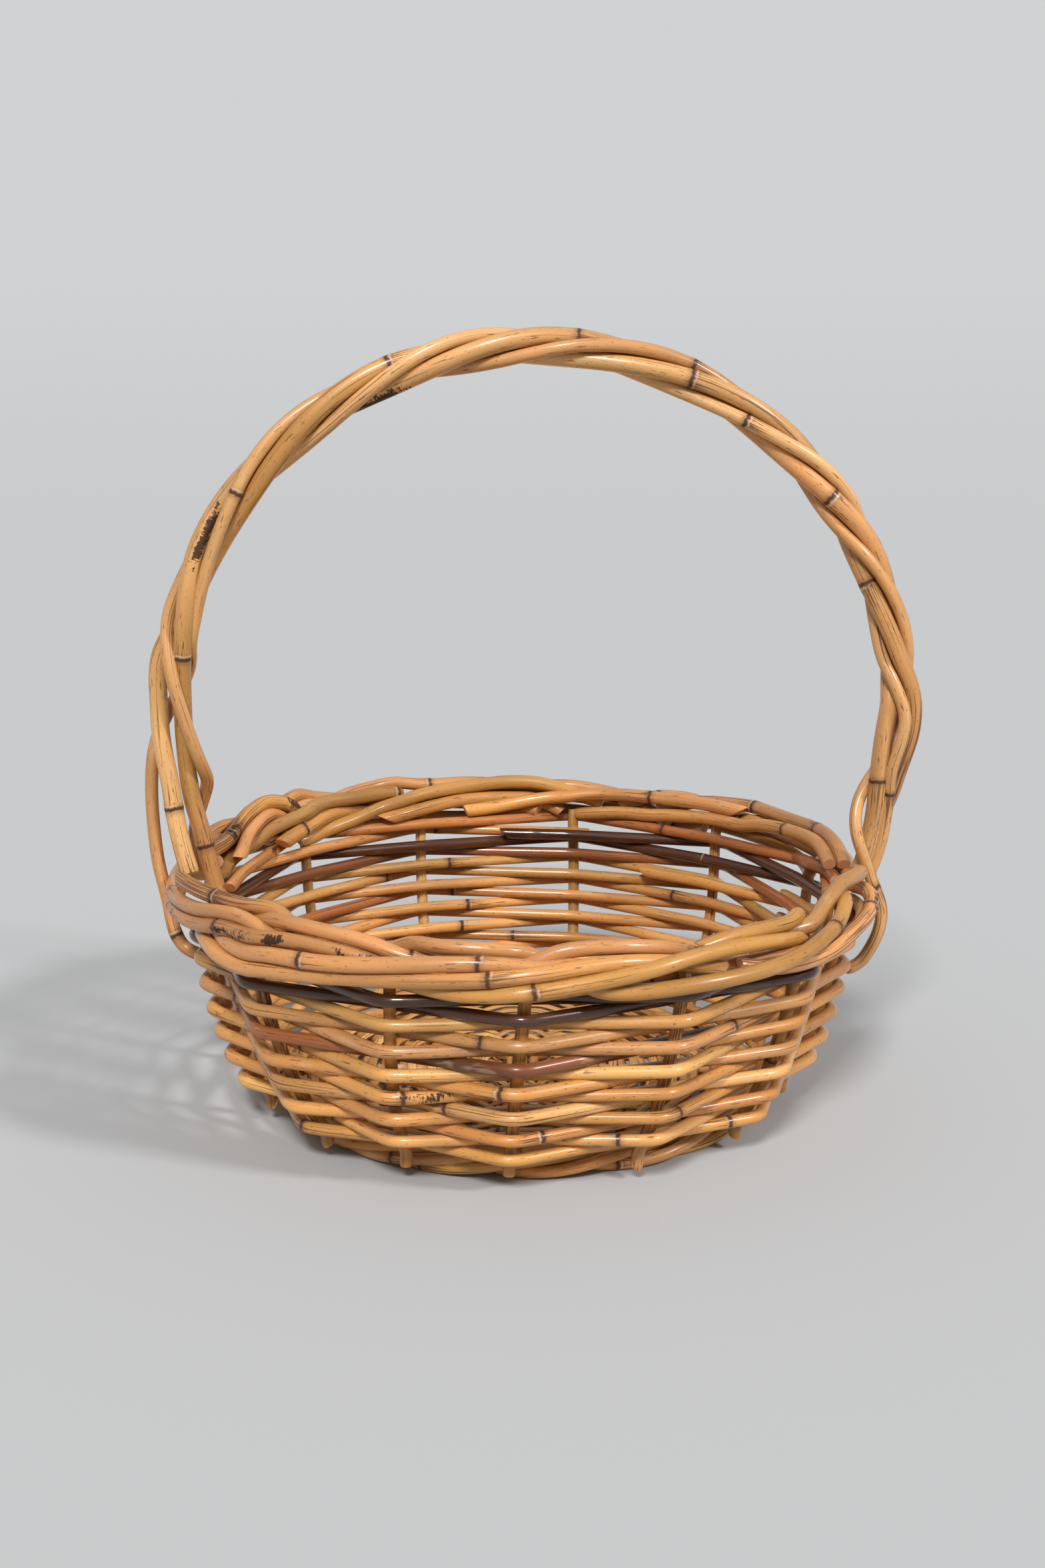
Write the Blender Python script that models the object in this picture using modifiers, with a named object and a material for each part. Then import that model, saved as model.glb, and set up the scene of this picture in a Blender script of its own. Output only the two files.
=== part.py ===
"""A round wicker basket with a tall twisted hoop handle, modelled cane by cane.

Metres, +Z up. The basket stands on the plane Z = 0 with the origin under the middle of its box.
The handle's hoop lies in the X-Z plane, and the front of the basket faces -Y.
Azimuths are in degrees from the front, turning towards +X.
"""

import math

import bmesh
import bpy
import numpy as np

# The handle leans a little to +X, so this shift brings the middle of the whole box over the origin
CENTRING_SHIFT = -0.0029236

# Canes
CLEARANCE = 0.0003
STAKE_RADIUS = 0.0032
WEAVER_RADIUS = 0.0033
BORDER_RADIUS = 0.0040
FOOT_RADIUS = 0.0032
STICK_RADIUS = 0.0027
THICK_ROD_RADIUS = 0.0052
THIN_ROD_RADIUS = 0.0037

# Side: the wall through the middle of the stakes, as (height, radius), and the woven rows
WALL = ((0.000, 0.1405), (0.010, 0.1455), (0.018, 0.1505), (0.030, 0.1575), (0.045, 0.1645),
        (0.058, 0.1685), (0.071, 0.1720), (0.084, 0.1750), (0.106, 0.1780), (0.125, 0.1805))
STAKE_FOOT, STAKE_TOP = 0.0085, 0.1145
# Where each stake stands: (azimuth at its top, azimuth at its foot). They are an odd number, so that
# one spiral of weaving passes outside a stake on one turn and inside it on the next.
STAKE_AZIMUTHS = ((0.5, -2.7), (26.7, 23.5), (54.0, 50.0), (81.0, 79.0), (108.0, 107.0),
                  (137.5, 135.0), (169.5, 168.0), (201.5, 203.0), (229.0, 231.0), (258.0, 259.0),
                  (286.0, 291.0), (308.5, 316.0), (338.5, 336.0))
# The spiral rises towards +azimuth and is numbered in steps from stake to stake, step 0 at the front
# stake. TOP_STEP is where it ends, at the back, and the upper rows dip a little there.
ROWS, TOP_STEP = 14, 19
FRONT_ROW, ROW_PITCH = 0.1039, 0.0069
BACK_DIP, LEVEL_ROW = 0.0040, 0.0180
BEND_HALF_WIDTH = 0.0035
ROW_END_GAP = 0.0010

# Border: a rope of four canes in a front and a back length, inside two plain hoops
BORDER_HEIGHT, BORDER_ROPE_RADIUS, BORDER_TWIST_RADIUS = 0.1285, 0.1785, 0.0068
BORDER_TWIST_LENGTH = 0.30
BORDER_STRANDS = 4
HANDLE_GAP_DEG = 6.0
HOOP_RADIUS = 0.1945
HOOP_HEIGHTS = (0.1240, 0.1326)
HOOP_SWELLS = ((90.0, 0.0030), (270.0, 0.0015))
SWELL_WIDTH_DEG = 20.0

# Foot: three canes twisted together, worn flat underneath
FOOT_RING_RADIUS, FOOT_TWIST_RADIUS = 0.1335, 0.0041
FOOT_STRANDS, FOOT_TURNS = 3, 6
FOOT_WEAR = 0.0010

# Floor: six sticks that cross in two layers and fan out to twelve spokes, with flat bands between
STICKS_PER_SIDE, STICK_SPACING = 3, 0.0066
CROSS_HALF_WIDTH, CROSS_RAMP, STICK_REACH = 0.0110, 0.0140, 0.1255
FLOOR_HEIGHT, CROSS_STEP = 0.0106, 0.0030
BAND_RADII = (0.041, 0.060, 0.079, 0.098, 0.117)
BAND_WIDTH, BAND_THICKNESS = 0.0145, 0.0016
BAND_STEPS_PER_SPOKE, BAND_FLATNESS = 4, 1.6

# Handle: two thick and two thin rods twisted round a circle, whose angle runs from the top to the right
HOOP_CENTRE_X, HOOP_CENTRE_Z, HANDLE_RADIUS = 0.0067, 0.2184, 0.2028
THICK_OFFSET, THIN_OFFSET = 0.0057, 0.0079
# The hoop's angles where the rods come to the front in turn: the lashing, the rod, the wrap, the bow
FRONT_CROSSINGS_DEG = (-122, -108, -94, -78, -55, -39, -23, -9.5, 4, 22, 41, 54, 64, 78, 90, 105, 117)
RODS = 4
STEPS_PER_TWIST = 12
ROD_STEP_DEG = 4.9
LEG_FOOT = 0.1175

# How far apart the points are: along the stakes from their ends, and round the border's hoops
STAKE_END_ROOM = 0.004
HOOP_STEP_DEG = 7.5
WELD_DISTANCE, CUT_TOLERANCE = 1e-6, 1e-7

COLOURS = {
    "stake": (0.46, 0.25, 0.085),
    "weaver": (0.58, 0.33, 0.12),
    "dark_weaver": (0.075, 0.030, 0.014),
    "border": (0.62, 0.34, 0.13),
    "foot": (0.55, 0.31, 0.11),
    "handle": (0.60, 0.36, 0.14),
    "floor": (0.52, 0.34, 0.15),
}
DARK_ROWS = (0, 1)
CANE_ROUGHNESS = 0.35


def make_material(name, colour):
    """A varnished cane finish of one colour."""
    material = bpy.data.materials.new(name)
    material.use_nodes = True
    shader = material.node_tree.nodes["Principled BSDF"]
    shader.inputs["Base Color"].default_value = (*colour, 1.0)
    shader.inputs["Roughness"].default_value = CANE_ROUGHNESS
    shader.inputs["Metallic"].default_value = 0.0
    return material


def ring_point(azimuth_deg, radius, height):
    """The point at an azimuth, a distance from the upright axis and a height."""
    angle = math.radians(azimuth_deg)
    return (radius * math.sin(angle), -radius * math.cos(angle), height)


def wall_radius(height):
    """The wall's radius at a height, on straight runs between the wall's points."""
    heights, radii = zip(*WALL)
    return float(np.interp(height, heights, radii))


def wall_lean(height):
    """The cosine of the wall's lean from upright, taken over one row."""
    rise = wall_radius(height + ROW_PITCH / 2) - wall_radius(height - ROW_PITCH / 2)
    return math.cos(math.atan2(rise, ROW_PITCH))


def stake_azimuth(index, height):
    """The azimuth of a stake at a height, between those of its foot and its top."""
    top, foot = STAKE_AZIMUTHS[index]
    share = (height - STAKE_FOOT) / (STAKE_TOP - STAKE_FOOT)
    return foot + (top - foot) * min(max(share, 0.0), 1.0)


def add_cane(name, points, radius, material, collection, closed=False):
    """A cane: a tube of one thickness along straight runs between the points, with its ends capped."""
    curve = bpy.data.curves.new(name, "CURVE")
    curve.dimensions = "3D"
    curve.bevel_depth = radius
    curve.bevel_resolution = 1
    curve.use_fill_caps = not closed
    spline = curve.splines.new("POLY")
    spline.points.add(len(points) - 1)
    for point, place in zip(spline.points, points):
        point.co = (*place, 1.0)
    spline.use_cyclic_u = closed
    spline.use_smooth = True
    curve.materials.append(material)
    cane = bpy.data.objects.new(name, curve)
    collection.objects.link(cane)
    return cane


def add_stakes(material, collection):
    """The upright canes, which follow the wall from just above the ground to the border."""
    lowest, highest = STAKE_FOOT + STAKE_END_ROOM, STAKE_TOP - STAKE_END_ROOM
    heights = [STAKE_FOOT, *(height for height, _ in WALL if lowest < height < highest), STAKE_TOP]
    for index in range(len(STAKE_AZIMUTHS)):
        points = [ring_point(stake_azimuth(index, h), wall_radius(h), h) for h in heights]
        add_cane(f"stake_{index + 1:02d}", points, STAKE_RADIUS, material, collection)


def row_height(step):
    """The height of the spiral of weaving at a step."""
    climb = FRONT_ROW + ROW_PITCH * step / len(STAKE_AZIMUTHS)
    behind = (1 - math.cos(math.radians(STAKE_AZIMUTHS[step % len(STAKE_AZIMUTHS)][0]))) / 2
    return climb - BACK_DIP * behind * max(climb - LEVEL_ROW, 0.0) / (FRONT_ROW - LEVEL_ROW)


def row_corners(step):
    """Where the spiral of weaving meets a stake, on the way down: two points outside it, or one inside.

    Even steps pass outside and odd steps inside.
    """
    height = row_height(step)
    azimuth = stake_azimuth(step % len(STAKE_AZIMUTHS), height)
    radius = wall_radius(height)
    offset = (STAKE_RADIUS + WEAVER_RADIUS + CLEARANCE) / wall_lean(height)
    if step % 2:
        return [ring_point(azimuth, radius - offset, height)]
    spread = math.degrees(BEND_HALF_WIDTH / radius)
    return [ring_point(azimuth + turn, radius + offset, height) for turn in (spread, -spread)]


def between(a, b, gap):
    """The middle of the run from a to b, moved by the gap towards b."""
    a, b = np.array(a), np.array(b)
    return tuple((a + b) / 2 + gap * (b - a) / np.linalg.norm(b - a))


def add_weavers(pale, dark, collection):
    """The woven rows, one turn of the spiral each, ending in the open runs between two stakes."""
    count = len(STAKE_AZIMUTHS)
    for row in range(ROWS):
        first = TOP_STEP - row * count
        before, after = row_corners(first + 1)[-1], row_corners(first - count)[0]
        corners = [point for step in range(first, first - count, -1) for point in row_corners(step)]
        start = between(before, corners[0], ROW_END_GAP)
        end = between(corners[-1], after, -ROW_END_GAP)
        material = dark if row in DARK_ROWS else pale
        add_cane(f"weaver_{row + 1:02d}", [start, *corners, end], WEAVER_RADIUS, material, collection)


def twisted_ring_point(azimuth_deg, ring_radius, height, twist_radius, phase):
    """A point of a cane twisted round a level ring: phase 0 is the outside and a quarter turn is the top."""
    return ring_point(azimuth_deg, ring_radius + twist_radius * math.cos(phase),
                      height + twist_radius * math.sin(phase))


def add_border(material, collection):
    """The rim: a four-cane rope, open at the handle's legs, and two plain hoops outside it."""
    turns = math.tau * BORDER_ROPE_RADIUS / BORDER_TWIST_LENGTH
    for side, middle in (("front", 0.0), ("back", 180.0)):
        reach = 90.0 - HANDLE_GAP_DEG
        steps = math.ceil(2 * reach / 360.0 * turns * STEPS_PER_TWIST)
        azimuths = np.linspace(middle - reach, middle + reach, steps + 1)
        for strand in range(BORDER_STRANDS):
            shift = math.tau * (strand + 0.5) / BORDER_STRANDS
            points = [twisted_ring_point(a, BORDER_ROPE_RADIUS, BORDER_HEIGHT, BORDER_TWIST_RADIUS,
                                         shift - math.radians(a) * turns) for a in azimuths]
            add_cane(f"border_{side}_{strand + 1}", points, BORDER_RADIUS, material, collection)
    azimuths = np.arange(0.0, 360.0, HOOP_STEP_DEG)
    for name, height in zip(("border_hoop_low", "border_hoop_high"), HOOP_HEIGHTS):
        points = [ring_point(a, HOOP_RADIUS + hoop_swell(a), height) for a in azimuths]
        add_cane(name, points, BORDER_RADIUS, material, collection, closed=True)


def hoop_swell(azimuth_deg):
    """How far the border's hoops stand out to pass the handle's legs."""
    return sum(swell * math.exp(-((azimuth_deg - middle) / SWELL_WIDTH_DEG) ** 2)
               for middle, swell in HOOP_SWELLS)


def add_foot(material, collection):
    """The foot rope, whose canes touch the ground in turn and are worn flat there."""
    height = FOOT_TWIST_RADIUS + FOOT_RADIUS - FOOT_WEAR
    steps = FOOT_TURNS * STEPS_PER_TWIST
    for strand in range(FOOT_STRANDS):
        points = []
        for step in range(steps):
            turn = step / steps
            phase = -math.pi / 2 + math.tau * (FOOT_TURNS * turn + strand / FOOT_STRANDS)
            points.append(twisted_ring_point(360.0 * turn, FOOT_RING_RADIUS, height,
                                             FOOT_TWIST_RADIUS, phase))
        name = f"foot_strand_{strand + 1}"
        cane = add_cane(name, points, FOOT_RADIUS, material, collection, closed=True)
        wear_flat(cane, collection)


def wear_flat(cane, collection):
    """Turn a cane into a mesh and cut it flat where it would pass below the ground."""
    mesh = bpy.data.meshes.new_from_object(cane.evaluated_get(bpy.context.evaluated_depsgraph_get()))
    worn = bpy.data.objects.new("worn", mesh)
    worn.matrix_world = cane.matrix_world
    collection.objects.link(worn)
    name = cane.name
    bpy.data.objects.remove(cane)
    worn.name = name
    shape = bmesh.new()
    shape.from_mesh(mesh)
    bmesh.ops.remove_doubles(shape, verts=shape.verts, dist=WELD_DISTANCE)
    everything = [*shape.verts, *shape.edges, *shape.faces]
    bmesh.ops.bisect_plane(shape, geom=everything, dist=CUT_TOLERANCE, plane_co=(0.0, 0.0, 0.0),
                           plane_no=(0.0, 0.0, 1.0), clear_inner=True)
    bmesh.ops.holes_fill(shape, edges=[edge for edge in shape.edges if edge.is_boundary])
    bmesh.ops.recalc_face_normals(shape, faces=shape.faces)
    shape.to_mesh(mesh)
    shape.free()


def stick_points(side_deg, index):
    """A floor stick: parallel to its neighbours where it crosses, then fanned out to its two spokes."""
    beside = (index - (STICKS_PER_SIDE - 1) / 2) * STICK_SPACING
    fan = math.radians((index - (STICKS_PER_SIDE - 1) / 2) * 90.0 / STICKS_PER_SIDE)
    lift = CROSS_STEP if side_deg == 0.0 else -CROSS_STEP
    corner = np.array((CROSS_HALF_WIDTH, beside, FLOOR_HEIGHT + lift))
    tip = np.array((STICK_REACH * math.cos(fan), STICK_REACH * math.sin(fan), FLOOR_HEIGHT))
    ramp = corner + (tip - corner) * CROSS_RAMP / np.linalg.norm(tip - corner)
    ramp[2] = FLOOR_HEIGHT
    half = [tip, ramp, corner]
    mirrored = [point * (-1.0, 1.0, 1.0) for point in reversed(half)]
    side = math.radians(side_deg)
    return [(along * math.sin(side) + beside * math.cos(side),
             -along * math.cos(side) + beside * math.sin(side), height)
            for along, beside, height in (*half, *mirrored)]


def add_floor(stick_material, band_material, collection):
    """The floor: six crossing sticks, and flat bands that run over and under their spokes."""
    for side_name, side_deg in (("long", 0.0), ("cross", 90.0)):
        for index in range(STICKS_PER_SIDE):
            add_cane(f"floor_stick_{side_name}_{index + 1}", stick_points(side_deg, index),
                     STICK_RADIUS, stick_material, collection)
    for index, radius in enumerate(BAND_RADII):
        add_band(f"floor_band_{index + 1}", radius, index % 2, band_material, collection)


def add_band(name, radius, phase, material, collection):
    """One flat band of the floor: a ring drawn out of a circle, waved over and under the spokes."""
    spokes = 4 * STICKS_PER_SIDE
    shape = bmesh.new()
    bmesh.ops.create_circle(shape, segments=BAND_STEPS_PER_SPOKE * spokes, radius=radius - BAND_WIDTH / 2)
    drawn = bmesh.ops.extrude_edge_only(shape, edges=list(shape.edges))["geom"]
    widen = (radius + BAND_WIDTH / 2) / (radius - BAND_WIDTH / 2)
    for vert in (item for item in drawn if isinstance(item, bmesh.types.BMVert)):
        vert.co.xy *= widen
    swing = STICK_RADIUS + BAND_THICKNESS / 2 + CLEARANCE
    for vert in shape.verts:
        place = math.atan2(vert.co.x, -vert.co.y) * spokes / math.tau
        wave = BAND_FLATNESS * math.cos(math.pi * (place + phase))
        vert.co.z = FLOOR_HEIGHT + swing * min(max(wave, -1.0), 1.0)
    bmesh.ops.recalc_face_normals(shape, faces=shape.faces)
    mesh = bpy.data.meshes.new(name)
    shape.to_mesh(mesh)
    shape.free()
    mesh.materials.append(material)
    band = bpy.data.objects.new(name, mesh)
    collection.objects.link(band)
    thicken = band.modifiers.new("thickness", "SOLIDIFY")
    thicken.thickness = BAND_THICKNESS
    thicken.offset = 0.0


def rod_run(first_deg, last_deg, turn, offset):
    """The points of a rod's twisted run between two angles from the top of the hoop to the right.

    turn is the rod's place in the order of the front crossings, and offset is its distance from the
    middle of the twist.
    """
    steps = math.ceil((last_deg - first_deg) / ROD_STEP_DEG)
    points = []
    for angle_deg in np.linspace(first_deg, last_deg, steps + 1):
        crossings = np.interp(angle_deg, FRONT_CROSSINGS_DEG, range(len(FRONT_CROSSINGS_DEG)))
        phase = math.pi / 2 - math.tau / RODS * (crossings - turn)
        angle = math.radians(angle_deg)
        outward = HANDLE_RADIUS + offset * math.cos(phase)
        points.append((HOOP_CENTRE_X + outward * math.sin(angle), -offset * math.sin(phase),
                       HOOP_CENTRE_Z + outward * math.cos(angle)))
    return points


def add_handle(material, collection):
    """The hoop handle: the bow goes down through the border, and one thin rod lashes over it."""
    left_leg = [(-0.1745, 0.0, LEG_FOOT), (-0.1765, 0.0010, 0.1350), (-0.1815, 0.0030, 0.1500)]
    right_leg = [(0.1985, -0.0030, 0.1680), (0.1925, -0.0010, 0.1520), (0.1875, 0.0, 0.1380),
                 (0.1850, 0.0, 0.1260), (0.1835, 0.0, LEG_FOOT)]
    bow = [*left_leg, *rod_run(-104.0, 100.0, 3, THICK_OFFSET), *right_leg]
    add_cane("handle_bow", bow, THICK_ROD_RADIUS, material, collection)
    rod_tail = [(-0.1955, -0.0070, 0.1500), (-0.1985, -0.0070, 0.1650)]
    rod = [*rod_tail, *rod_run(-98.0, 103.0, 1, THICK_OFFSET)]
    add_cane("handle_rod", rod, THICK_ROD_RADIUS, material, collection)
    left_tail = [(-0.1940, -0.0125, 0.0925), (-0.2005, -0.0095, 0.1080), (-0.2060, -0.0060, 0.1270),
                 (-0.2085, -0.0030, 0.1480), (-0.2105, 0.0010, 0.1680), (-0.2103, 0.0060, 0.1850),
                 (-0.2065, 0.0110, 0.2000), (-0.2000, 0.0145, 0.2150), (-0.1935, 0.0150, 0.2300),
                 (-0.1875, 0.0125, 0.2420), (-0.1850, 0.0060, 0.2500)]
    right_tail = [(0.1905, 0.0010, 0.1765), (0.1862, -0.0040, 0.1650), (0.1875, -0.0090, 0.1550),
                  (0.1925, -0.0118, 0.1470), (0.1985, -0.0125, 0.1415), (0.2052, -0.0135, 0.1375),
                  (0.2072, -0.0135, 0.1270), (0.2065, -0.0130, 0.1140), (0.2010, -0.0130, 0.1000),
                  (0.1945, -0.0135, 0.0905)]
    lashing = [*left_tail, *rod_run(-78.0, 98.0, 0, THIN_OFFSET), *right_tail]
    add_cane("handle_lashing", lashing, THIN_ROD_RADIUS, material, collection)
    wrap = rod_run(-100.0, 96.0, 2, THIN_OFFSET)
    add_cane("handle_wrap", wrap, THIN_ROD_RADIUS, material, collection)


def main():
    """Clear the scene and build the basket in a collection of its own."""
    for leftover in list(bpy.data.objects):
        bpy.data.objects.remove(leftover)
    basket = bpy.data.collections.new("wicker_basket")
    bpy.context.scene.collection.children.link(basket)
    finish = {name: make_material(name, colour) for name, colour in COLOURS.items()}
    add_stakes(finish["stake"], basket)
    add_weavers(finish["weaver"], finish["dark_weaver"], basket)
    add_border(finish["border"], basket)
    add_foot(finish["foot"], basket)
    add_floor(finish["stake"], finish["floor"], basket)
    add_handle(finish["handle"], basket)
    canes = list(basket.objects)
    stand = bpy.data.objects.new("stand", None)
    basket.objects.link(stand)
    stand.location.x = CENTRING_SHIFT
    for cane in canes:
        cane.parent = stand


main()
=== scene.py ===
"""The looks of a round wicker basket: every cane of it, its varnish, and the studio it stands in.

Metres, +Z up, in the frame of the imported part: the basket stands on Z = 0, its hoop handle lies in the
X-Z plane and its front faces -Y. Azimuths are in degrees from the front, turning towards +X.
"""

import logging
import math
from dataclasses import dataclass, field
from enum import Enum
from typing import Sequence

import bpy
import numpy as np
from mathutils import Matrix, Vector


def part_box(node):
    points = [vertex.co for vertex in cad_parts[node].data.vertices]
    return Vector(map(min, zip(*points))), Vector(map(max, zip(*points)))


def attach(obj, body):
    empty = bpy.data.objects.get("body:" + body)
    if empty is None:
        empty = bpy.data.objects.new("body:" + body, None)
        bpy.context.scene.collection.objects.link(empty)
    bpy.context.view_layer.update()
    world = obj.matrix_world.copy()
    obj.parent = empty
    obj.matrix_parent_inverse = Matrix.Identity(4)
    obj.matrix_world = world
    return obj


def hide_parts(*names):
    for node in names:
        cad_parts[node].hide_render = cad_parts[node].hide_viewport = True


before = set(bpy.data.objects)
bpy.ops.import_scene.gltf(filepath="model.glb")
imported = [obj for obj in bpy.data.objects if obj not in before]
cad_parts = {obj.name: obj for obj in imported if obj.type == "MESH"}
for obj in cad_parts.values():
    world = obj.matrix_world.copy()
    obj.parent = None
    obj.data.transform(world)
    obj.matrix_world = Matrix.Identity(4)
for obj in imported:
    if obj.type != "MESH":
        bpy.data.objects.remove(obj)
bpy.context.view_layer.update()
AXIS_X = sum(corner.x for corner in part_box("floor_band_5")) / 2

LOG = logging.getLogger("wicker_basket")
ROOT = "root"
Colour = tuple[float, float, float]
Point = tuple[float, float, float]


class Tone(Enum):
    """The natural colours that the canes of one basket come in."""

    GOLD = (0.580, 0.268, 0.068)
    HONEY = (0.520, 0.218, 0.053)
    PEACH = (0.610, 0.278, 0.094)
    OLIVE = (0.460, 0.232, 0.060)
    TAN = (0.530, 0.248, 0.080)
    STRAW = (0.680, 0.360, 0.115)
    CREAM = (0.670, 0.355, 0.130)
    UMBER = (0.210, 0.066, 0.020)
    RUSSET = (0.350, 0.112, 0.030)
    BLACK = (0.032, 0.0100, 0.0040)
    SOOT = (0.085, 0.0260, 0.0085)


class Lane(Enum):
    """The places of a cane in the rim's section, as (radius, height)."""

    INNER_LOW = (0.1715, 0.1225)
    INNER = (0.1735, 0.1290)
    OUTER_TOP = (0.1880, 0.1345)
    OUTER = (0.1925, 0.1280)
    OUTER_LOW = (0.1925, 0.1200)
    CORE = (0.1815, 0.1275)
    CORE_LOW = (0.1800, 0.1195)


@dataclass(frozen=True)
class Scorch:
    """A burnt patch on a cane.

    at and length are metres along the cane, side is the angle round it in degrees, spread is how far
    round it reaches in degrees, and strength runs from 0 to 1.
    """

    at: float
    length: float
    side: float = 0.0
    spread: float = 90.0
    strength: float = 0.9


@dataclass(frozen=True)
class Skin:
    """The growth marks of one cane.

    tones are colours at shares of the length, streaks is how strongly it is striped, and joints are the
    places of its growth rings in metres from its start, or None to spread them by chance.
    """

    tones: tuple[tuple[float, Tone], ...] = ((0.0, Tone.GOLD),)
    streaks: float = 0.35
    joints: tuple[float, ...] | None = None
    scorches: tuple[Scorch, ...] = ()
    shade: float = 1.0


def ring_points(azimuth_deg: np.ndarray, radius: np.ndarray, height: np.ndarray) -> np.ndarray:
    """Points round the basket's upright axis.

    Args:
        azimuth_deg: Azimuths in degrees from the front towards +X.
        radius: Distances from the axis.
        height: Heights.

    Returns:
        An (n, 3) array: (radius sin a, -radius cos a, height).
    """
    angle = np.radians(azimuth_deg)
    radius, height = np.broadcast_to(radius, angle.shape), np.broadcast_to(height, angle.shape)
    return np.stack([radius * np.sin(angle), -radius * np.cos(angle), height], axis=-1)


def arc_lengths(points: np.ndarray) -> np.ndarray:
    """The distance of each point of a path from its start, along straight runs."""
    steps = np.linalg.norm(np.diff(points, axis=0), axis=1)
    return np.concatenate([[0.0], np.cumsum(steps)])


def at_lengths(points: np.ndarray, places: np.ndarray) -> np.ndarray:
    """The points of a path at distances from its start, by straight interpolation."""
    along = arc_lengths(points)
    return np.stack([np.interp(places, along, points[:, axis]) for axis in range(3)], axis=-1)


def rounded_path(points: np.ndarray, rounding: float, spacing: float = 0.001) -> np.ndarray:
    """A path with its corners rounded like a bent cane's.

    The straight runs are sampled evenly and averaged with a bell curve whose half width is the rounding.
    The ends are carried on straight before the averaging, so they stay where they are.

    Args:
        points: The corners, as an (n, 3) array.
        rounding: The bell curve's standard deviation in metres.
        spacing: The distance between samples.

    Returns:
        The rounded path's samples.
    """
    length = arc_lengths(points)[-1]
    count = max(int(round(length / spacing)), 8)
    even = at_lengths(points, np.linspace(0.0, length, count + 1))
    reach = min(max(int(3 * rounding / spacing), 1), count)
    head = 2 * even[0] - even[reach:0:-1]
    tail = 2 * even[-1] - even[-2:-reach - 2:-1]
    padded = np.concatenate([head, even, tail])
    bell = np.exp(-0.5 * (np.arange(-reach, reach + 1) * spacing / rounding) ** 2)
    bell /= bell.sum()
    return np.stack([np.convolve(padded[:, axis], bell, "valid") for axis in range(3)], axis=-1)


def through_points(points: Sequence[Point] | np.ndarray, spacing: float = 0.004) -> np.ndarray:
    """A smooth path through points, each run a cubic whose ends lean along their neighbours' chord.

    Args:
        points: The points to pass through.
        spacing: The distance between samples.

    Returns:
        The path's samples, as an (n, 3) array.
    """
    knots = np.asarray(points, float)
    places = arc_lengths(knots)
    slopes = np.gradient(knots, places, axis=0)
    samples = np.linspace(0.0, places[-1], max(int(places[-1] / spacing), 2) + 1)
    run = np.clip(np.searchsorted(places, samples, side="right") - 1, 0, len(knots) - 2)
    width = (places[run + 1] - places[run])[:, None]
    t = (samples - places[run])[:, None] / width
    return ((2 * t**3 - 3 * t**2 + 1) * knots[run] + (t**3 - 2 * t**2 + t) * width * slopes[run]
            + (3 * t**2 - 2 * t**3) * knots[run + 1] + (t**3 - t**2) * width * slopes[run + 1])


def unit(vectors: np.ndarray) -> np.ndarray:
    """Vectors scaled to length 1 along their last axis."""
    return vectors / np.maximum(np.linalg.norm(vectors, axis=-1, keepdims=True), 1e-12)


def smooth_noise(places: np.ndarray, wavelength: float, rng: np.random.Generator) -> np.ndarray:
    """A wandering value of about -1 to 1 along a length: random knots a wavelength apart, cosine-eased."""
    knots = rng.uniform(-1.0, 1.0, int(places.max() / wavelength) + 3)
    place = places / wavelength
    low = place.astype(int)
    ease = 0.5 - 0.5 * np.cos(np.pi * (place - low))
    return knots[low] * (1 - ease) + knots[low + 1] * ease


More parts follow.
